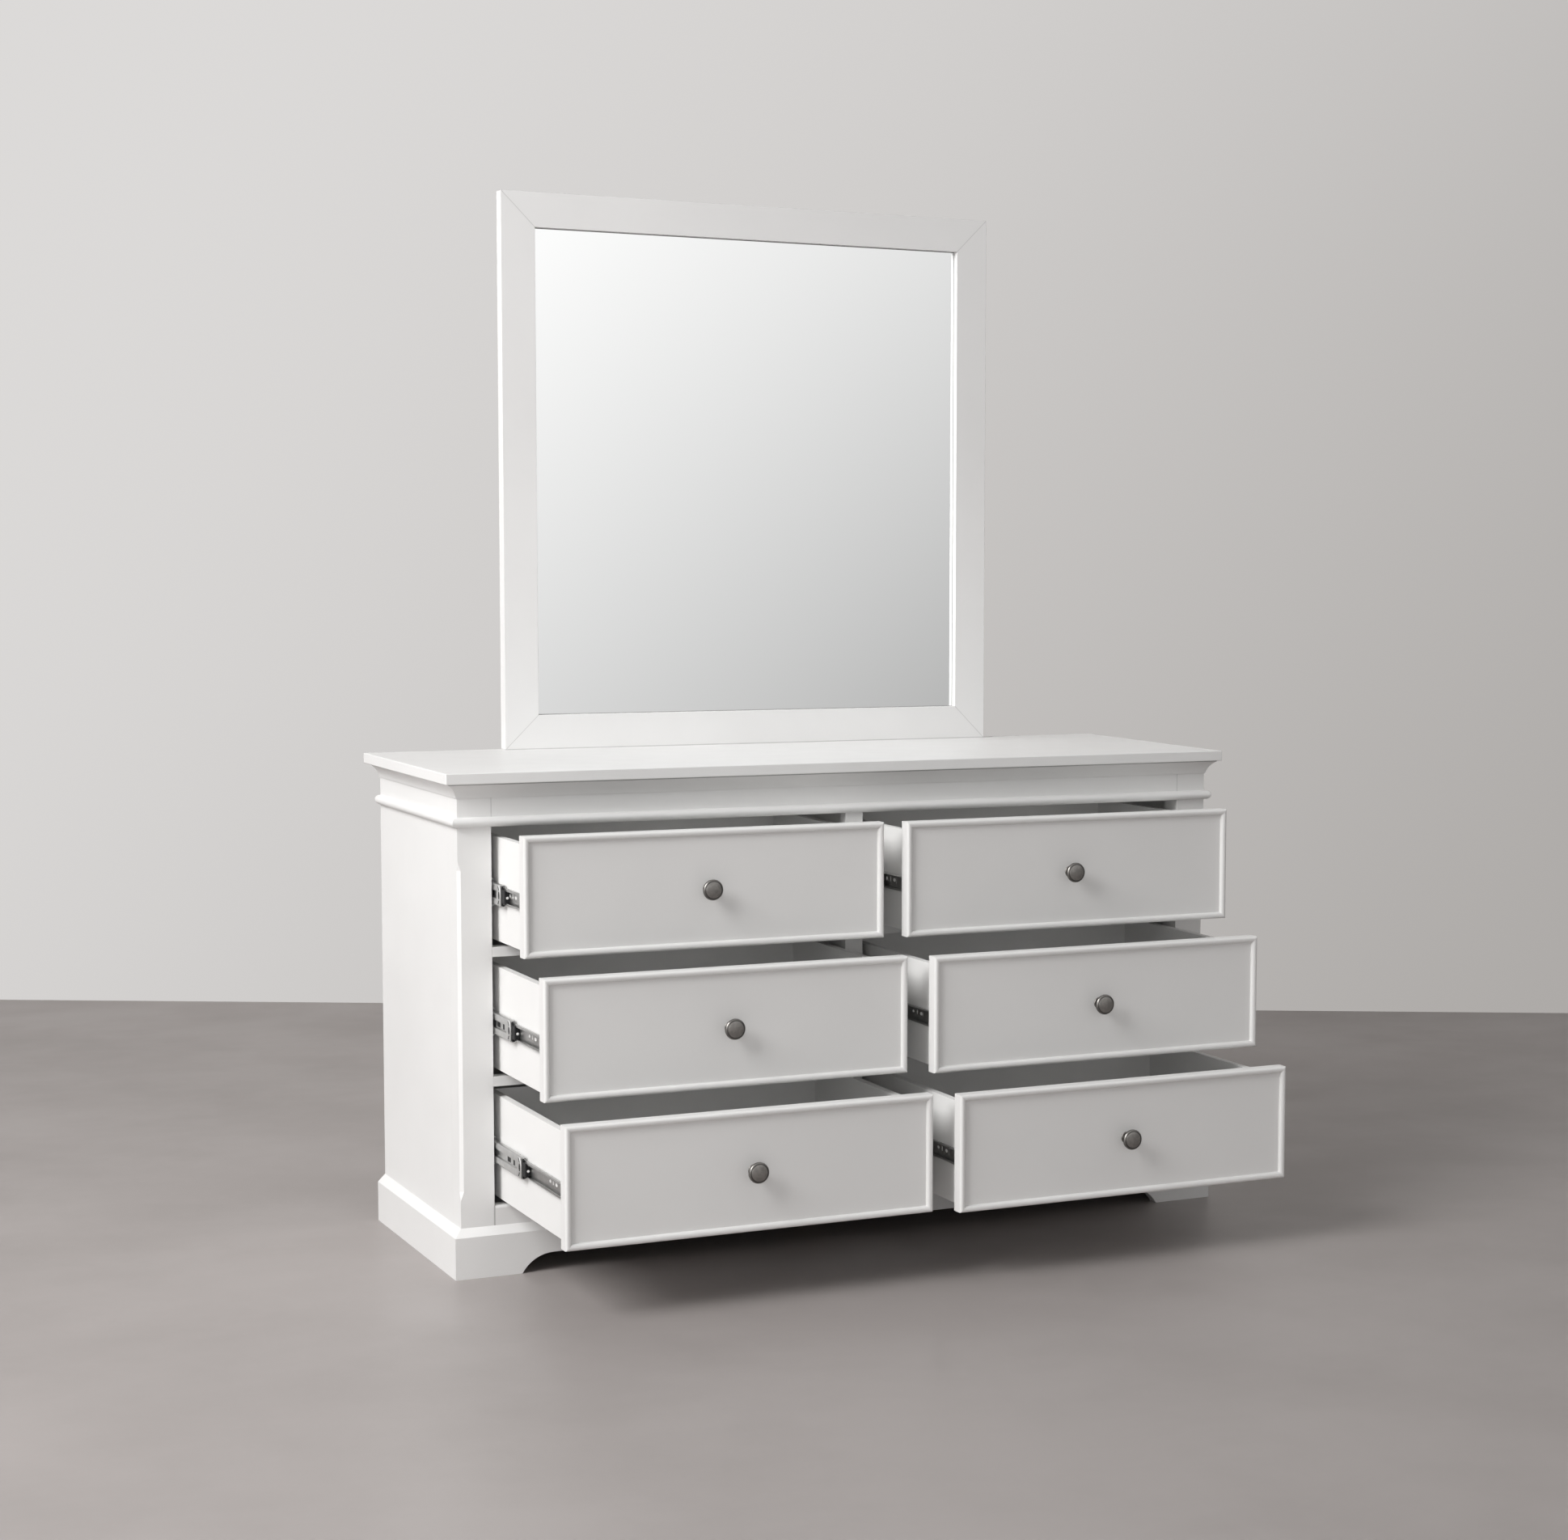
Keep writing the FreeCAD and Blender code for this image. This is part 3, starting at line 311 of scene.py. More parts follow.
paintLook = {
    "carcass": (0.80, 0.796, 0.789, 1),
    # a touch darker than the carcass: painted shade for fronts that the light reaches less
    "front": (0.775, 0.769, 0.761, 1),
    "box": (0.80, 0.795, 0.785, 1),
    "inside": (0.78, 0.772, 0.76, 1),
    "frame": (0.84, 0.835, 0.83, 1),      # of the mirror, a touch lighter than the carcass: painted light for the frame, high up near the light
    "worn": (0.87, 0.865, 0.855, 1),      # on the corners
    "wornShare": 0.25,
    # dark colour of the closed joints, also used for the painted shade lines
    "joint": (0.2, 0.195, 0.19, 1),
    "jointShade": 0.34,                   # how much of it shows in closed joints and painted shade lines
    "rough": 0.36,
    "shine": 0.42,
    "index": 1.46,
    "ripple": 0.00003,                    # height of the film's ripples in metres
    "easing": 0.0008,
}


def whitePaint(name, colour, joint=None):
    # satin white lacquer on board; the last argument is a function that gives a mask for the closed joints
    # and the lines of painted shade
    material, tree, shader = newFinish(name, IOR=paintLook["index"], Specular_IOR_Level=paintLook["shine"])
    film = place(tree, sprayFilm, {"Colour": colour, "Roughness": paintLook["rough"]})
    eased = place(tree, easedCorners, {"Radius": paintLook["easing"]})
    worn = mixColour(tree, calc(tree, "MULTIPLY", eased["Corner"], paintLook["wornShare"]), film["Colour"],
                     paintLook["worn"])
    if joint:
        worn = mixColour(tree, calc(tree, "MULTIPLY", joint(tree), paintLook["jointShade"]), worn,
                         paintLook["joint"])
    feed(tree, shader, Base_Color=worn, Roughness=film["Roughness"],
         Normal=bumpOf(tree, film["Height"], paintLook["ripple"], eased["Normal"]))
    return material


mirrorLow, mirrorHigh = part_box("mirror_rail_bottom")[0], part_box("mirror_rail_top")[1]
jointPlaces = {                # in metres, from the pieces themselves
    "post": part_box("frieze_rail")[1].x,
    "beadTop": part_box("bead_moulding")[1].z,
    "railTop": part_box("bottom_rail")[1].z,
    "coveTop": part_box("cove_moulding")[1].z,
    "mirrorFoot": mirrorLow.z,
    "mirrorHalf": mirrorHigh.x,
    "mirrorMiddle": (mirrorLow.z + mirrorHigh.z) / 2,
    "mirrorTall": (mirrorHigh.z - mirrorLow.z) / 2,
}
jointWidth = {                 # widths of the closed joints and painted shade lines in metres
    "post": 0.0011,
    "rail": 0.0026,
    "mitre": 0.0014,
    "foot": 0.0030,
    "cove": 0.0032,
}
jointDepth = {"rail": 1.4, "cove": 2.4}   # how many times darker these two are than the others, as painted shade


def lineWhere(tree, distance, width):
    return place(tree, hairline, {"Distance": distance, "Width": width})["Line"]


def postJointAndShade(tree):
    # where the posts meet the frieze rail, above the bead, and the rail under the drawers, lower down; the
    # lower line is wider and darker, as painted shade beside the rail's lip
    x, y, z = axesOf(tree)
    away = calc(tree, "SUBTRACT", calc(tree, "ABSOLUTE", x), jointPlaces["post"])
    above = calc(tree, "MULTIPLY", lineWhere(tree, away, jointWidth["post"]),
                 calc(tree, "GREATER_THAN", z, jointPlaces["beadTop"]))
    below = calc(tree, "MULTIPLY", lineWhere(tree, away, jointWidth["rail"]),
                 calc(tree, "LESS_THAN", z, jointPlaces["railTop"]))
    return calc(tree, "MULTIPLY_ADD", below, jointDepth["rail"], above)


def mitreJointAndFootShade(tree):
    # the mitres of the mirror frame, as far in from the side as from the top or bottom, and a line of
    # painted shade along the bottom, where the frame stands on the top
    x, y, z = axesOf(tree)
    fromSide = calc(tree, "SUBTRACT", calc(tree, "ABSOLUTE", x), jointPlaces["mirrorHalf"])
    level = calc(tree, "ABSOLUTE", calc(tree, "SUBTRACT", z, jointPlaces["mirrorMiddle"]))
    fromEnd = calc(tree, "SUBTRACT", level, jointPlaces["mirrorTall"])
    mitre = lineWhere(tree, calc(tree, "SUBTRACT", fromSide, fromEnd), jointWidth["mitre"])
    # painted contact shadow where the frame stands on the top
    foot = lineWhere(tree, calc(tree, "SUBTRACT", z, jointPlaces["mirrorFoot"]), jointWidth["foot"])
    return calc(tree, "MAXIMUM", mitre, foot)


def coveJointAndShade(tree):
    # painted shade: a dark line along the top of the cove, under the overhanging edge of the slab, where the
    # cove meets the slab's underside
    under = calc(tree, "SUBTRACT", axesOf(tree)["Z"], jointPlaces["coveTop"])
    return calc(tree, "MULTIPLY", lineWhere(tree, under, jointWidth["cove"]), jointDepth["cove"])


foilLook = {
    "rough": 0.46,
    "shine": 0.35,
    "drift": 0.03,
    "ripple": 0.000015,
    "easing": 0.0006,
    "raw": (0.85, 0.845, 0.83, 1),        # on the corners
    "rawShare": 0.3,
}


def foilBoard(name, colour):
    # white foil on board, a touch flatter than the lacquer
    look = foilLook
    material, tree, shader = newFinish(name, IOR=paintLook["index"], Specular_IOR_Level=look["shine"])
    film = place(tree, sprayFilm, {"Colour": colour, "Roughness": look["rough"], "Drift": look["drift"]})
    eased = place(tree, easedCorners, {"Radius": look["easing"]})
    raw = mixColour(tree, calc(tree, "MULTIPLY", eased["Corner"], look["rawShare"]), film["Colour"],
                    look["raw"])
    feed(tree, shader, Base_Color=raw, Roughness=film["Roughness"],
         Normal=bumpOf(tree, film["Height"], look["ripple"], eased["Normal"]))
    return material


woodLook = {
    "rough": 0.72,
    "shine": 0.25,
    "pale": (0.66, 0.50, 0.33, 1),        # of the slow patches
    "patch": 6.0,
    "patchShare": 0.35,
    "grainHeight": 0.0002,
}


def bareWood(name, stretch):
    # sawn softwood; its grain is drawn out along the axis with the small value
    look = woodLook
    material, tree, shader = newFinish(name, Roughness=look["rough"], Specular_IOR_Level=look["shine"])
    grain = place(tree, sawnGrain, {"Vector": objectPlace(tree, stretch)})
    patch = rescale(tree, noise(tree, objectPlace(tree), look["patch"]), 0.3, 0.7, 0.0, look["patchShare"])
    tone = mixColour(tree, patch, grain["Colour"], look["pale"])
    feed(tree, shader, Base_Color=tone, Normal=bumpOf(tree, grain["Height"], look["grainHeight"]))
    return material


# the second mark is black plastic, and also painted shade in the slots and hollows
toneMarks = {"steel": 0.0, "plastic": 1.0, "hole": 2.0}
steelLook = {
    "zinc": (0.66, 0.67, 0.68, 1),
    "middleMember": (0.61, 0.61, 0.605, 1),
    "drawerMember": (0.48, 0.48, 0.475, 1),
    "plastic": (0.009, 0.009, 0.010, 1),
    "plasticShine": 0.22,
    "plasticRough": 0.15,                 # added to the strip's own
    "behindHole": (0.80, 0.795, 0.785, 1),
}


def rolledZinc(name, colour):
    # zinc plated strip
    material, tree, shader = newFinish(name, Metallic=1.0)
    strip = place(tree, rolledStrip, {"Colour": colour, "Roughness": stripLook["rough"]})
    feed(tree, shader, Base_Color=strip["Colour"], Roughness=strip["Roughness"],
         Normal=bumpOf(tree, strip["Height"], stripLook["height"]))
    return material


def stampedSteel(name, colour):
    # the pressed ends of the slides, coloured by the piece's own "tone", which holds the tone marks:
    # black from steel to plastic, where black is black plastic and also painted shade in the slots and
    # hollows, then bright from plastic to a hole over the white board
    material, tree, shader = newFinish(name, Specular_IOR_Level=steelLook["plasticShine"])
    strip = place(tree, rolledStrip, {"Colour": colour, "Roughness": stripLook["rough"]})
    tone = attribute(tree, "tone")
    black = rescale(tree, tone, 0.35, 0.65)
    bright = rescale(tree, tone, 1.35, 1.65)
    mixed = mixColour(tree, black, strip["Colour"], steelLook["plastic"])
    mixed = mixColour(tree, bright, mixed, steelLook["behindHole"])
    feed(tree, shader, Base_Color=mixed, Metallic=calc(tree, "SUBTRACT", 1.0, black),
         Roughness=calc(tree, "MULTIPLY_ADD", black, steelLook["plasticRough"], strip["Roughness"]),
         Normal=bumpOf(tree, strip["Height"], stripLook["height"]))
    return material


nickelLook = {
    "face": (0.225, 0.215, 0.205, 1),
    "rubbed": (0.27, 0.258, 0.243, 1),
    "patina": (0.085, 0.081, 0.077, 1),
    "cloud": 210.0,
    "rings": 2600.0,
    "ringRough": 0.16,
    "ringHeight": 0.00003,
    "rough": 0.24,
}


def brushedNickel(name):
    # dark nickel turned on a lathe: fine rings that follow the piece's own radius, and a dark mark
    # that is 1 in the grooves, where it is patina, and on the rim, where it is a painted dark reflection
    material, tree, shader = newFinish(name, Metallic=1.0)
    look = nickelLook
    ringAt = addNode(tree, "ShaderNodeCombineXYZ", {0: attribute(tree, "radius")}).outputs[0]
    rings = noise(tree, ringAt, look["rings"], 3.0, 0.7)
    cloud = noise(tree, objectPlace(tree), look["cloud"], 2.0)
    rubbed = mixColour(tree, rescale(tree, cloud, 0.35, 0.7), look["face"], look["rubbed"])
    feed(tree, shader, Base_Color=mixColour(tree, attribute(tree, "patina"), rubbed, look["patina"]),
         Roughness=calc(tree, "MULTIPLY_ADD", rings, look["ringRough"], look["rough"]),
         Normal=bumpOf(tree, rings, look["ringHeight"]))
    return material


mirrorLook = {
    "silver": (0.93, 0.935, 0.935, 1),
    "haze": (0.004, 0.02),     # least and most roughness
    "line": (0.30, 0.30, 0.295, 1),
    "edge": 0.0013,            # width of the painted shadow line inside the frame
    "edgeLean": 0.0003,        # how much wider it is above, and narrower below
    "sightHalf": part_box("mirror_stile_right")[0].x,
    "sightTall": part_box("mirror_rail_top")[0].z - jointPlaces["mirrorMiddle"],
}


def silveredGlass(name):
    # float glass with silver behind it, a breath of haze over the silver and a painted shadow of the frame's
    # reveal: a dark line round its edge, which is soft over a quarter of its width on either side
    material, tree, shader = newFinish(name, Metallic=1.0)
    haze = rescale(tree, noise(tree, objectPlace(tree), 5.0, 4.0), 0.35, 0.75, *mirrorLook["haze"])
    x, y, z = axesOf(tree)
    fromSide = calc(tree, "SUBTRACT", mirrorLook["sightHalf"], calc(tree, "ABSOLUTE", x))
    middle = jointPlaces["mirrorMiddle"] - mirrorLook["edgeLean"]
    level = calc(tree, "ABSOLUTE", calc(tree, "SUBTRACT", z, middle))
    fromEnd = calc(tree, "SUBTRACT", mirrorLook["sightTall"], level)
    inside = calc(tree, "MINIMUM", fromSide, fromEnd)
    # painted shadow of the reveal, a little wider above than below
    edge = rescale(tree, inside, mirrorLook["edge"] * 1.25, mirrorLook["edge"] * 0.75)
    feed(tree, shader, Roughness=haze,
         Base_Color=mixColour(tree, edge, mirrorLook["silver"], mirrorLook["line"]))
    return material


fibreLook = {
    "dark": (0.30, 0.20, 0.12, 1),
    "light": (0.47, 0.34, 0.22, 1),
    "stain": (0.25, 0.17, 0.10, 1),
    "stainShare": 0.3,
    "fibre": 420.0,
    "patch": 9.0,
    "rough": (0.5, 0.75),
    "shine": 0.3,
    "height": 0.0001,
}


def hardboard(name):
    # brown pressed fibre with slow stains
    look = fibreLook
    material, tree, shader = newFinish(name, Specular_IOR_Level=look["shine"])
    at = objectPlace(tree)
    fibre = noise(tree, at, look["fibre"], 4.0, 0.7)
    patch = noise(tree, at, look["patch"], 3.0)
    tone = mixColour(tree, fibre, look["dark"], look["light"])
    tone = mixColour(tree, rescale(tree, patch, 0.3, 0.7, 0.0, look["stainShare"]), tone, look["stain"])
    feed(tree, shader, Base_Color=tone, Roughness=rescale(tree, fibre, 0.2, 0.8, *look["rough"]),
         Normal=bumpOf(tree, fibre, look["height"]))
    return material


def giveFinish(names, material):
    for name in names:
        mesh = nodes[name].data
        if mesh.materials:
            for number in range(len(mesh.materials)):
                nodes[name].material_slots[number].material = material
        else:
            mesh.materials.append(material)


rows = ("top", "middle", "bottom")
columns = ("left", "right")
keys = [row + "_" + column for row in rows for column in columns]

lacquer = whitePaint("whiteLacquer", paintLook["carcass"])
giveFinish(["plinth_front", "plinth_sides", "side_panel_left", "side_panel_right", "bottom_panel",
            "centre_stile", "divider_rails", "bead_moulding", "top_panel", "mirror_supports"], lacquer)
jointedLacquer = whitePaint("whiteLacquerJointed", paintLook["carcass"], postJointAndShade)
giveFinish(["frieze_rail", "bottom_rail"], jointedLacquer)
giveFinish(["cove_moulding"], whitePaint("whiteLacquerCove", paintLook["carcass"], coveJointAndShade))
giveFinish(["mirror_stile_left", "mirror_stile_right", "mirror_rail_top", "mirror_rail_bottom"],
           whitePaint("whiteLacquerMitred", paintLook["frame"], mitreJointAndFootShade))
giveFinish(["drawer_front_" + key for key in keys], whitePaint("whiteLacquerFronts", paintLook["front"]))
giveFinish(["drawer_box_" + key for key in keys], foilBoard("whiteFoilDrawer", paintLook["box"]))
giveFinish(["back_panel", "centre_partition"], foilBoard("whiteFoilInside", paintLook["inside"]))
giveFinish(["slide_battens"], bareWood("softwoodLengthways", (1.0, 0.06, 1.0)))
giveFinish(["plinth_back", "back_rails"], bareWood("softwoodCrossways", (0.06, 1.0, 1.0)))
giveFinish(["corner_blocks", "centre_foot"], bareWood("softwoodUpright", (1.0, 1.0, 0.08)))
giveFinish(["cabinet_slides"], rolledZinc("zincCabinetMember", steelLook["zinc"]))
giveFinish(["drawer_rails_" + key for key in keys],
           rolledZinc("zincDrawerMember", steelLook["drawerMember"]))
giveFinish(["support_screws"], rolledZinc("zincScrews", steelLook["zinc"]))
giveFinish(["mirror_glass"], silveredGlass("mirrorSilver"))
giveFinish(["mirror_backing"], hardboard("brownHardboard"))
print("finishes given to the frame")


# surfaces worked out on grids

def boxOf(name):
    # low and high corner of a CAD node's box, in mm
    return [np.array(corner) * 1000 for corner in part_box(name)]


def newPiece(name, points, faces, body, slot, material, smooth=True, **marks):
    # a mesh from an array of points and arrays of faces, with one number per point under each mark's name
    mesh = bpy.data.meshes.new(name)
    mesh.from_pydata(points.tolist(), [], [face for part in faces for face in part.tolist()])
    mesh.polygons.foreach_set("use_smooth", np.full(len(mesh.polygons), smooth))
    for mark, values in marks.items():
        perPoint = mesh.attributes.new(mark, "FLOAT", "POINT").data
        perPoint.foreach_set("value", values.ravel().astype(np.float32))
    mesh.materials.append(material)
    mesh.validate()
    piece = bpy.data.objects.new(name, mesh)
    scene.collection.objects.link(piece)
    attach(piece, body)
    return piece


def gridFaces(countU, countV, closedV=False):
    # the four corners of every cell of a grid, going round if it is closed
    u = np.arange(countU - 1)[:, None]
    v = np.arange(countV if closedV else countV - 1)[None, :]
    after = (v + 1) % countV
    return np.stack([u * countV + v, u * countV + after, (u + 1) * countV + after, (u + 1) * countV + v],
                    axis=-1).reshape(-1, 4)


def turnedSurface(profile, sides):
    # a profile of (radius, reach) turned about an axis, (r cos a, reach, r sin a), closed by a point
    # at each end; the last value tells for every point which point of the profile it comes from
    radius, reach = np.asarray(profile, float).T[:2]
    angle = np.arange(sides) / sides * 2 * np.pi
    across = radius[1:-1, None] * np.cos(angle)
    upward = radius[1:-1, None] * np.sin(angle)
    outward = np.broadcast_to(reach[1:-1, None], across.shape)
    rings = np.stack([across, outward, upward], axis=-1).reshape(-1, 3)
    points = np.concatenate([rings, [[0, reach[0], 0], [0, reach[-1], 0]]])
    ring = np.arange(sides)
    after = np.roll(ring, -1)
    last = len(rings) - sides
    pole = np.full(sides, len(rings))
    faces = [gridFaces(len(radius) - 2, sides, closedV=True),
             np.stack([after, ring, pole], axis=-1),
             np.stack([last + ring, last + after, pole + 1], axis=-1)]
    origin = np.concatenate([np.repeat(np.arange(1, len(radius) - 1), sides), [0, len(radius) - 1]])
    return points, faces, origin


# corner posts

postShape = {                  # in mm
    "chamfer": 5.5,            # leg of the chamfer on the outer front corner
    "eased": 0.3,              # leg at the other corners, and above and below the chamfer
    "low": 142.0,              # the chamfer is full from this height
    "high": 668.0,             # to this one
    "run": 14.0,               # length of each stop
}


def cornerPost(side):
    # eight points round the post, two at each corner, carried up through the heights; the outer front
    # corner's leg grows from eased to chamfer and back over each stop
    name = "front_post_" + side
    low, high = boxOf(name)
    shape = postShape
    stops = [shape["low"] - shape["run"], shape["low"], shape["high"], shape["high"] + shape["run"]]
    height = np.array([low[2], *stops, high[2]])
    leg = np.interp(height, stops, [shape["eased"], shape["chamfer"], shape["chamfer"], shape["eased"]])
    outer, inner = (low[0], high[0]) if side == "left" else (high[0], low[0])
    inward = np.sign(inner - outer)
    none, least = np.zeros_like(leg), np.full_like(leg, shape["eased"])
    front, back = low[1], high[1]
    x = np.stack([outer + inward * leg, inner - inward * least, inner + none, inner + none,
                  inner - inward * least, outer + inward * least, outer + none, outer + none], axis=-1)
    y = np.stack([front + none, front + none, front + least, back - least,
                  back + none, back + none, back - least, front + leg], axis=-1)
    points = np.stack([x, y, np.broadcast_to(height[:, None], x.shape)], axis=-1).reshape(-1, 3) / 1000
    ring = np.arange(x.shape[1])
    faces = [gridFaces(len(height), len(ring), closedV=True), ring[None, :],
             ring[None, ::-1] + len(points) - len(ring)]
    if side == "right":
        faces = [part[:, ::-1] for part in faces]
    post = newPiece("corner_post_" + side, points, faces, "carcass", "white_paint", jointedLacquer, False)
    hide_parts(name)


for side in columns:
    cornerPost(side)
print("posts chamfered")


# knobs

knobShape = {
    "outline": [                      # radius and distance from the drawer front's field in mm, and a dark mark, patina in the grooves and painted dark reflection on the rim
        (0, 0, 0), (9.2, 0, 0), (9.85, 0.15, 0.6), (10.0, 0.6, 0.3), (10.0, 1.2, 0.3), (9.7, 1.75, 0),
        (9.0, 2.0, 0), (7.6, 2.15, 0.8), (6.4, 2.8, 1), (5.7, 4.2, 0.5), (5.4, 6.5, 0), (5.35, 9.0, 0),
        (5.6, 11.5, 0), (6.3, 13.8, 0), (7.7, 15.6, 0), (10.0, 16.9, 0.3), (12.8, 17.8, 0.6),
        (15.2, 18.5, 1), (16.5, 19.0, 1), (16.95, 19.6, 1), (17.0, 20.3, 0.9), (17.0, 21.1, 0.5),
        (16.9, 21.9, 0.3), (16.6, 22.7, 0.3), (16.05, 23.4, 0.4), (15.4, 23.95, 0.7), (14.7, 24.35, 0.9),
        (14.2, 24.5, 1), (13.9, 24.4, 1), (13.6, 24.45, 1), (13.3, 24.75, 0.5), (12.9, 24.9, 0),
        (11.5, 25.13, 0), (9.0, 25.48, 0), (6.0, 25.78, 0), (3.0, 25.94, 0), (0, 26.0, 0),
    ],
    "sides": 72,
    "screwHead": [(0, 0), (4.4, 0), (4.5, 0.25), (4.45, 0.9), (4.1, 1.6), (3.3, 2.2), (2.0, 2.45), (0, 2.5)],
    "screwSides": 32,
}


def knobAt(key):
    # the turned knob on the field, and its screw behind the front board
    low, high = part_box("drawer_knob_" + key)
    middleX, middleZ = (low.x + high.x) / 2, (low.z + high.z) / 2
    profile = np.array(knobShape["outline"], float)
    points, faces, origin = turnedSurface(profile / 1000, knobShape["sides"])
    points = points * (1, -1, 1) + (middleX, low.y + profile[:, 1].max() / 1000, middleZ)
    knob = newPiece("knob_" + key, points, faces, "drawer_" + key, "dark_nickel", nickel,
                    radius=profile[origin, 0] / 1000, patina=profile[origin, 2])
    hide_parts("drawer_knob_" + key)
    head = np.array(knobShape["screwHead"]) / 1000
    points, faces, origin = turnedSurface(head, knobShape["screwSides"])
    points = points + (middleX, high.y - head[:, 1].max(), middleZ)
    newPiece("knob_screw_" + key, points, [part[:, ::-1] for part in faces], "drawer_" + key, "zinc_steel",
             screwSteel)


nickel = brushedNickel("darkNickel")
screwSteel = rolledZinc("zincScrewHead", steelLook["zinc"])
for key in keys:
    knobAt(key)
print("knobs turned")


# middle members of the slides with their stops, and the holes of the drawer members

slideShape = {                 # the middle member, in mm; depths count from the face of the opening
    "long": 400.0,
    "section": [               # its upper half, as (depth, height)
        (6.6, 5.5), (3.3, 6.1), (2.75, 6.5), (2.6, 7.2), (2.6, 15.0), (2.85, 16.4), (3.6, 17.5),
        (4.9, 17.95), (8.6, 17.95), (9.8, 17.5), (10.4, 16.4), (10.4, 14.6), (9.2, 14.6), (9.2, 16.0),
        (8.4, 16.75), (5.0, 16.75), (4.1, 16.3), (3.8, 15.4), (3.8, 7.6), (4.3, 7.3), (7.4, 6.7),
        (7.8, 6.2),
    ],
    "track": 2.6,              # show side of the tracks
    "groove": 6.6,             # show side of the groove between them
}
endShape = {                   # its pressed front end
    "long": (0.2, 24.0),
    "half": 16.5,
    "gap": 0.8,                # between grid lines
    "lines": 61,               # grid lines across
    "rib": 4.5,                # how far back the rib runs in the middle
    "ribBend": (8.0, 16.0),    # how much further back it runs, at this height from the middle
    "ribHalf": 2.6,
    "flat": 0.3,
    "rise": 0.85,
    "tip": 1.6,                # black up to here
    "eye": (6.9, 4.1, 6.4),    # hollow behind the rib, painted black as shade: its middle, half length and half height
    "eyeLong": (2.8, 11.0),
    "corner": ((8.2, 14.5), (2.6, 7.6)),   # hollows above and below, painted black as shade: heights, and lengths behind the rib
    "hollow": 0.06,
}
grooveShape = {                # its groove
    "long": (26.0, 110.0),
    "half": 5.3,
    "gaps": (4.0, 1.4),        # between grid lines, along and across
    "floor": 0.5,
    "slots": ((47.0, 56.0, 4.4), (69.0, 87.0, 4.0)),   # from, to, half height
    "slotFloor": 0.05,
}
stopShape = {                  # the plastic stop in front of it
    "back": 5.1,
    "thick": 1.3,
    "bulge": 0.7,
    "bulgeTip": (1.0, 2.0),    # where the bulge starts behind the tip, and the length that it rises over
    "bulgeSide": 0.1,          # the share of the half height that it rises over
    "reach": 18.0,
    "ear": 4.0,
    "half": (11.65, 16.15),    # half height of the plate and of its ears
    "gap": 1.5,
    "lines": 25,
    "noseBack": 10.9,
    "noseHalf": 9.3,
    "noseShort": 0.2,          # how far the nose ends before the member
    "noseLines": (4, 7),
    "pin": [(0, 0), (2.2, 0), (2.2, 0.3), (1.7, 0.55), (0, 0.65)],
    "pinSides": 16,
    "pinAt": (7.6, -1.0),
}
holeShape = {                  # the holes near the front end of the drawer's member
    "web": 11.5,               # show side of that member
    "long": (40.0, 90.0),
    "tall": (-2.0, 9.0),
    "lines": (101, 34),
    "round": ((79.0, 2.8, 1.6, 2.8), (48.0, 2.4, 1.7, 3.1)),   # place, level, stretch, radius
    "upright": (64.0, 3.2, 1.9, 4.2),         # place, level, half length, half height
    "plate": 0.16,
    "hole": 0.03,
}


def gridLines(low, high, gap, edges=()):
    # places from low to high about a gap apart, with a close pair at each edge of a feature
    even = np.linspace(low, high, max(2, int(round((high - low) / gap)) + 1))
    close = np.add.outer(np.array(edges, float), (-0.15, 0.15)).ravel()
    close = close[(close > low) & (close < high)]
    apart = even[np.all(np.abs(even[:, None] - close) > 0.35, axis=1)]
    return np.unique(np.round(np.concatenate([[low, high], apart, close]), 3))


def between(value, ends):
    return (value > ends[0]) & (value < ends[1])


def atFace(depth, t, z, at):
    # point = (face + inward * depth, front + t, level + z), from mm to m
    return np.stack([at["face"] + at["inward"] * depth, at["front"] + t, at["level"] + z], axis=-1) / 1000


def reliefPlate(t, z, height, tone, depth, at):
    # a closed plate: its show side stands height out from a depth, its back lies flat on it
    rowsOf, colsOf = t.shape
    points = np.concatenate([atFace(depth - height, t, z, at).reshape(-1, 3),
                             atFace(np.full_like(t, depth), t, z, at).reshape(-1, 3)])
    front = gridFaces(rowsOf, colsOf)
    number = np.arange(rowsOf * colsOf).reshape(rowsOf, colsOf)
    rim = np.concatenate([number[0, :], number[1:, -1], number[-1, -2::-1], number[-2:0:-1, 0]])
    after = np.roll(rim, -1)
    back = rowsOf * colsOf
    wall = np.stack([after, rim, rim + back, after + back], axis=-1)
    faces = np.concatenate([front, front[:, ::-1] + back, wall])
    if at["inward"] < 0:
        faces = faces[:, ::-1]
    return points, [faces], np.concatenate([tone.ravel(), tone.ravel()])


def middleMember(at):
    # the section, mirrored below, carried along the member and closed at both ends
    upper = np.array(slideShape["section"])
    section = np.concatenate([upper, upper[::-1] * (1, -1)])
    count = len(section)
    ends = [atFace(section[:, 0], np.full(count, t), section[:, 1], at)
            for t in (0.0, slideShape["long"])]
    sides = gridFaces(2, count, closedV=True)
    caps = [np.arange(count)[None, ::-1], np.arange(count)[None, :] + count]
    faces = [sides] + caps
    if at["inward"] < 0:
        faces = [part[:, ::-1] for part in faces]
    return np.concatenate(ends), faces, np.full(2 * count, toneMarks["steel"])


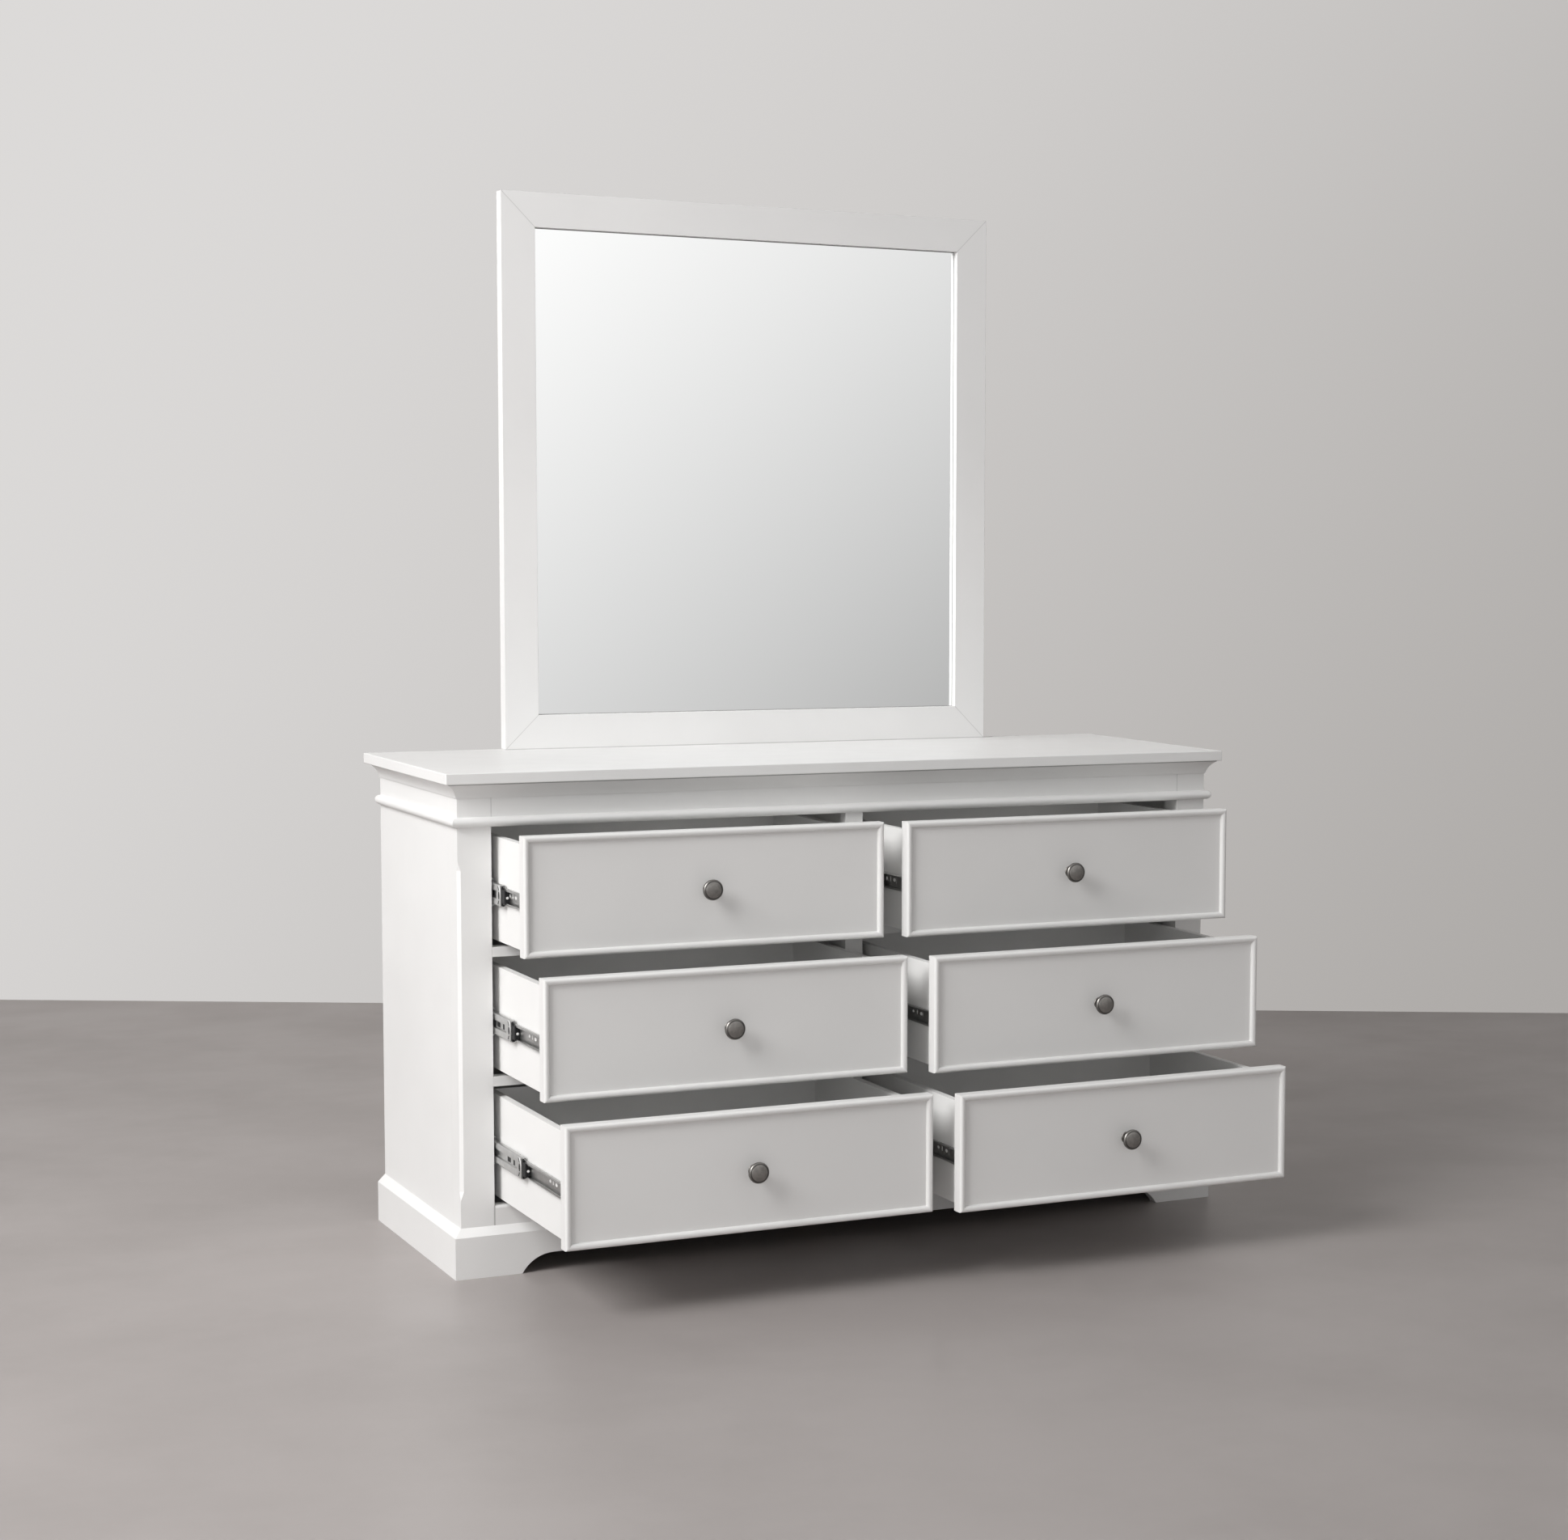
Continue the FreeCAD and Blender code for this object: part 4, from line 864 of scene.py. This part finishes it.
def endPlate():
    # the pressed end: a rib whose place behind the tip is rib + bend (z / bendHeight)^2, with a hollow
    # behind it, one above and one below, the hollows painted black as shade, and a black plastic tip
    shape = endShape
    t, z = np.meshgrid(gridLines(*shape["long"], shape["gap"]),
                       np.linspace(-shape["half"], shape["half"], shape["lines"]), indexing="ij")
    bend, bendHeight = shape["ribBend"]
    away = np.abs(z)
    behind = t - (shape["rib"] + bend * (away / bendHeight) ** 2)
    height = shape["flat"] + shape["rise"] * np.clip(1 - (behind / shape["ribHalf"]) ** 2, 0, 1)
    middle, halfLong, halfTall = shape["eye"]
    eye = between(behind, shape["eyeLong"]) & (np.hypot((behind - middle) / halfLong, away / halfTall) < 1)
    heights, lengths = shape["corner"]
    hollow = eye | (between(away, heights) & between(behind, lengths))
    # painted shade in the hollows, black plastic at the tip
    tone = np.where(hollow | (t < shape["tip"]), toneMarks["plastic"], toneMarks["steel"])
    return t, z, np.where(hollow, shape["hollow"], height), tone


def groovePlate():
    # the groove's floor with two slots in it, their floors painted black as the shade seen through them
    shape = grooveShape
    ends = [end for slot in shape["slots"] for end in slot[:2]]
    sides = [side * slot[2] for slot in shape["slots"] for side in (-1, 1)]
    t, z = np.meshgrid(gridLines(*shape["long"], shape["gaps"][0], ends),
                       gridLines(-shape["half"], shape["half"], shape["gaps"][1], sides), indexing="ij")
    sunk = np.any([between(t, slot) & (np.abs(z) < slot[2]) for slot in shape["slots"]], axis=0)
    # painted shade on the slot floors
    return (t, z, np.where(sunk, shape["slotFloor"], shape["floor"]),
            np.where(sunk, toneMarks["plastic"], toneMarks["steel"]))


def plasticStop(at):
    # a plate with an ear at its top and bottom, a nose that fills the next channel, and a bright pin;
    # the plate's thickness is thick + bulge * rise from its tip * rise from its sides
    shape = stopShape
    reach, neck = shape["reach"], shape["reach"] - shape["ear"]
    t, across = np.meshgrid(gridLines(0, reach, shape["gap"], [neck]), np.linspace(-1, 1, shape["lines"]),
                            indexing="ij")
    half = np.where(t < neck, *shape["half"])
    start, length = shape["bulgeTip"]
    fromTip = np.clip((t - start) / length, 0, 1)
    fromSide = np.clip((1 - np.abs(across)) / shape["bulgeSide"], 0, 1)
    height = shape["thick"] + shape["bulge"] * fromTip * fromSide
    front = dict(at, front=at["front"] - reach)
    black = np.full_like(t, toneMarks["plastic"])
    plate = reliefPlate(t, across * half, height, black, shape["back"], front)
    t, z = np.meshgrid(np.linspace(0, reach - shape["noseShort"], shape["noseLines"][0]),
                       np.linspace(-1, 1, shape["noseLines"][1]) * shape["noseHalf"], indexing="ij")
    deep = np.full_like(t, shape["noseBack"] - shape["back"])
    nose = reliefPlate(t, z, deep, np.full_like(t, toneMarks["plastic"]), shape["noseBack"], front)
    points, faces, origin = turnedSurface(shape["pin"], shape["pinSides"])
    depth, level = shape["pinAt"]
    points = atFace(depth + points[:, 0], -points[:, 1], level + points[:, 2], front)
    if at["inward"] < 0:
        faces = [part[:, ::-1] for part in faces]
    return [plate, nose, (points, faces, np.full(len(points), toneMarks["hole"]))]


def memberHoles():
    # near the end of the drawer's member, an upright hole between two round ones, over the white board
    shape = holeShape
    t, z = np.meshgrid(np.linspace(*shape["long"], shape["lines"][0]),
                       np.linspace(*shape["tall"], shape["lines"][1]), indexing="ij")
    start, level, halfLong, halfTall = shape["upright"]
    holes = (np.abs(t - start) < halfLong) & (np.abs(z - level) < halfTall)
    for start, level, stretch, radius in shape["round"]:
        holes |= np.hypot((t - start) / stretch, z - level) < radius
    return (t, z, np.where(holes, shape["hole"], shape["plate"]),
            np.where(holes, toneMarks["hole"], toneMarks["steel"]))


def joined(parts):
    # several (points, faces, tone) as one
    counts = np.cumsum([0] + [len(points) for points, faces, tone in parts[:-1]])
    return (np.concatenate([points for points, faces, tone in parts]),
            [part + count for (points, faces, tone), count in zip(parts, counts) for part in faces],
            np.concatenate([tone for points, faces, tone in parts]))


def slideEnds(key):
    # places come from the CAD's own members; the faces of the opening stand a track's depth outside the
    # middle ones
    low, high = np.round(boxOf("slide_middle_" + key), 3)
    memberFront = np.round(boxOf("drawer_rails_" + key)[0][1], 3)
    shape = slideShape
    moving, fixed = [], []
    for face, inward in ((low[0] - shape["track"], 1), (high[0] + shape["track"], -1)):
        at = {"face": face, "inward": inward, "level": (low[2] + high[2]) / 2,
              "front": high[1] - shape["long"]}
        member = dict(at, front=memberFront)
        moving += [middleMember(at), reliefPlate(*endPlate(), shape["track"], at),
                   reliefPlate(*groovePlate(), shape["groove"], at)]
        moving += plasticStop(at)
        fixed.append(reliefPlate(*memberHoles(), holeShape["web"], member))
    points, faces, tone = joined(moving)
    middle = newPiece("slide_member_" + key, points, faces, "slide_" + key, "zinc_steel", pressedZinc,
                      False, tone=tone)
    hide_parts("slide_middle_" + key)
    points, faces, tone = joined(fixed)
    newPiece("slide_holes_" + key, points, faces, "drawer_" + key, "zinc_steel", pressedMember, False,
             tone=tone)


pressedZinc = stampedSteel("pressedZinc", steelLook["middleMember"])
pressedMember = stampedSteel("pressedDrawerMember", steelLook["drawerMember"])
for key in keys:
    slideEnds(key)
print("slides finished")


# floor, backdrop and light

roomLook = {
    "floor": (0.350, 0.320, 0.311, 1),
    "floorDark": (0.314, 0.286, 0.277, 1),
    "floorCloud": 1.6,
    "floorRough": (0.30, 0.42),
    "floorShine": 0.4,
    "floorHalf": 11.0,
    "wall": (0.70, 0.685, 0.672, 1),      # where it lights the dresser
    "wallBright": (0.715, 0.70, 0.69, 1),  # as the camera sees it glow, painted light from its left end to its right
    "wallDim": (0.405, 0.387, 0.373, 1),
    "wallFall": (0.18, 0.65),  # where it starts and ends to dim, as shares of its width
    "wallLean": -0.35,         # added at the top, so that it dims further right there
    "wallRough": 0.85,
    "wallShine": 0.1,
    "wallAhead": 7.57,         # metres from the camera, square to where it looks
    "wallHalf": 7.0,
    "wallHigh": 6.0,
    "light": (1.0, 0.998, 0.993),
    "ambient": 0.352,
    "beyond": 0.62,            # brightness past the wall
    "reflection": {"middle": 1.44, "right": -1.9, "up": 2.0, "least": 0.35, "most": 1.05},
    "windows": 0.9,            # how much brighter reflections get far to the left
    "windowsLeft": (-0.5, -0.8),          # X of the direction, from none of it to all
    "windowsAhead": (0.8, 0.4),           # and Y
    "lamps": {
        "window": {"place": (-4.0, -1.5, 3.4), "aim": (-0.1, -0.3, 0.7), "size": 2.6, "power": 241.0},
        "fill": {"place": (-2.3, -5.4, 1.25), "aim": (0.0, -0.3, 0.7), "size": 1.6, "power": 28.0},
    },
}


def flatSheet(name, corners, material):
    mesh = bpy.data.meshes.new(name)
    mesh.from_pydata(corners, [], [(0, 1, 2, 3)])
    mesh.uv_layers.new(name=name).data.foreach_set("uv", [0, 0, 1, 0, 1, 1, 0, 1])
    mesh.materials.append(material)
    sheet = bpy.data.objects.new(name, mesh)
    scene.collection.objects.link(sheet)


def polishedFloor():
    # satin screed with slow clouds of tone
    material, tree, shader = newFinish("floorScreed", Specular_IOR_Level=roomLook["floorShine"])
    at = objectPlace(tree)
    cloud = rescale(tree, noise(tree, at, roomLook["floorCloud"], 6.0, 0.6), 0.35, 0.68)
    feed(tree, shader, Base_Color=mixColour(tree, cloud, roomLook["floor"], roomLook["floorDark"]),
         Roughness=rescale(tree, noise(tree, at, 3.0, 4.0), 0.3, 0.7, *roomLook["floorRough"]))
    return material


def seeThroughWall():
    # a wall that shows only from the front, so that it never hides the dresser: plain paint to light, but to
    # the camera a glow of painted light, bright on the left and dim on the right, with no shadow on it
    look = roomLook
    material, tree, shader = newFinish("wallPaintAndGlow", Base_Color=look["wall"], Roughness=look["wallRough"],
                                       Specular_IOR_Level=look["wallShine"])
    along = addNode(tree, "ShaderNodeUVMap", uv_map="wall").outputs[0]
    part = addNode(tree, "ShaderNodeSeparateXYZ", {0: along}).outputs
    fall = calc(tree, "MULTIPLY_ADD", part["Y"], look["wallLean"], part["X"])
    # painted light: the glow dims from left to right, and further right at the top
    seen = mixColour(tree, rescale(tree, fall, *look["wallFall"]), look["wallBright"], look["wallDim"])
    glow = addNode(tree, "ShaderNodeEmission", {"Color": seen})
    direct = addNode(tree, "ShaderNodeLightPath").outputs["Is Camera Ray"]
    paintOrGlow = addNode(tree, "ShaderNodeMixShader", {0: direct, 1: shader.outputs[0], 2: glow.outputs[0]})
    behind = addNode(tree, "ShaderNodeNewGeometry").outputs["Backfacing"]
    clear = tree.nodes.new("ShaderNodeBsdfTransparent")
    mix = addNode(tree, "ShaderNodeMixShader", {0: behind, 1: paintOrGlow.outputs[0], 2: clear.outputs[0]})
    out = [n for n in tree.nodes if n.type == "OUTPUT_MATERIAL"][0]
    tree.links.new(mix.outputs[0], out.inputs["Surface"])
    return material


def layRoom():
    half = roomLook["floorHalf"]
    flatSheet("floor", [(-half, -half, 0), (half, -half, 0), (half, half, 0), (-half, half, 0)],
              polishedFloor())
    forward = lookDirections(viewpoint)[0]
    ahead = Vector((forward.x, forward.y, 0)).normalized()
    across = Vector((ahead.y, -ahead.x, 0))
    foot = Vector((viewpoint["place"][0], viewpoint["place"][1], 0)) + ahead * roomLook["wallAhead"]
    left, right = foot - across * roomLook["wallHalf"], foot + across * roomLook["wallHalf"]
    rise = Vector((0, 0, roomLook["wallHigh"]))
    flatSheet("wall", [left, right, right + rise, left + rise], seeThroughWall())


def worldStrength(tree):
    # brightness seen by reflection = middle + right x + up z, kept between least and most, and more of it
    # from a bright wall of windows far to the left, which the mirror doesn't show
    look, slope = roomLook, roomLook["reflection"]
    path = addNode(tree, "ShaderNodeLightPath").outputs
    at = addNode(tree, "ShaderNodeTexCoord").outputs["Generated"]
    x, y, z = addNode(tree, "ShaderNodeSeparateXYZ", {0: at}).outputs
    seen = calc(tree, "MULTIPLY_ADD", x, slope["right"], slope["middle"])
    seen = calc(tree, "MULTIPLY_ADD", z, slope["up"], seen)
    seen = calc(tree, "MAXIMUM", calc(tree, "MINIMUM", seen, slope["most"]), slope["least"])
    windows = calc(tree, "MULTIPLY", rescale(tree, x, *look["windowsLeft"]),
                   rescale(tree, y, *look["windowsAhead"]))
    seen = calc(tree, "MULTIPLY_ADD", windows, look["windows"], seen)
    extra = calc(tree, "SUBTRACT", seen, look["ambient"])
    strength = calc(tree, "MULTIPLY_ADD", path["Is Glossy Ray"], extra, look["ambient"])
    return calc(tree, "MAXIMUM", strength, calc(tree, "MULTIPLY", path["Is Camera Ray"], look["beyond"]))


def lightRoom():
    world = bpy.data.worlds.new("studio")
    scene.world = world
    world.use_nodes = True
    tree = world.node_tree
    tree.nodes.clear()
    sky = addNode(tree, "ShaderNodeBackground",
                  {"Color": (*roomLook["light"], 1), "Strength": worldStrength(tree)})
    out = tree.nodes.new("ShaderNodeOutputWorld")
    tree.links.new(sky.outputs[0], out.inputs["Surface"])
    for name, given in roomLook["lamps"].items():
        lamp = bpy.data.lights.new(name, "AREA")
        lamp.size = given["size"]
        lamp.energy = given["power"]
        lamp.color = roomLook["light"]
        hung = bpy.data.objects.new(name, lamp)
        toAim = Vector(given["aim"]) - Vector(given["place"])
        turned = toAim.to_track_quat("-Z", "Y").to_matrix().to_4x4()
        hung.matrix_world = Matrix.Translation(given["place"]) @ turned
        scene.collection.objects.link(hung)


layRoom()
lightRoom()
scene.view_settings.view_transform = "Standard"
print("room lit")
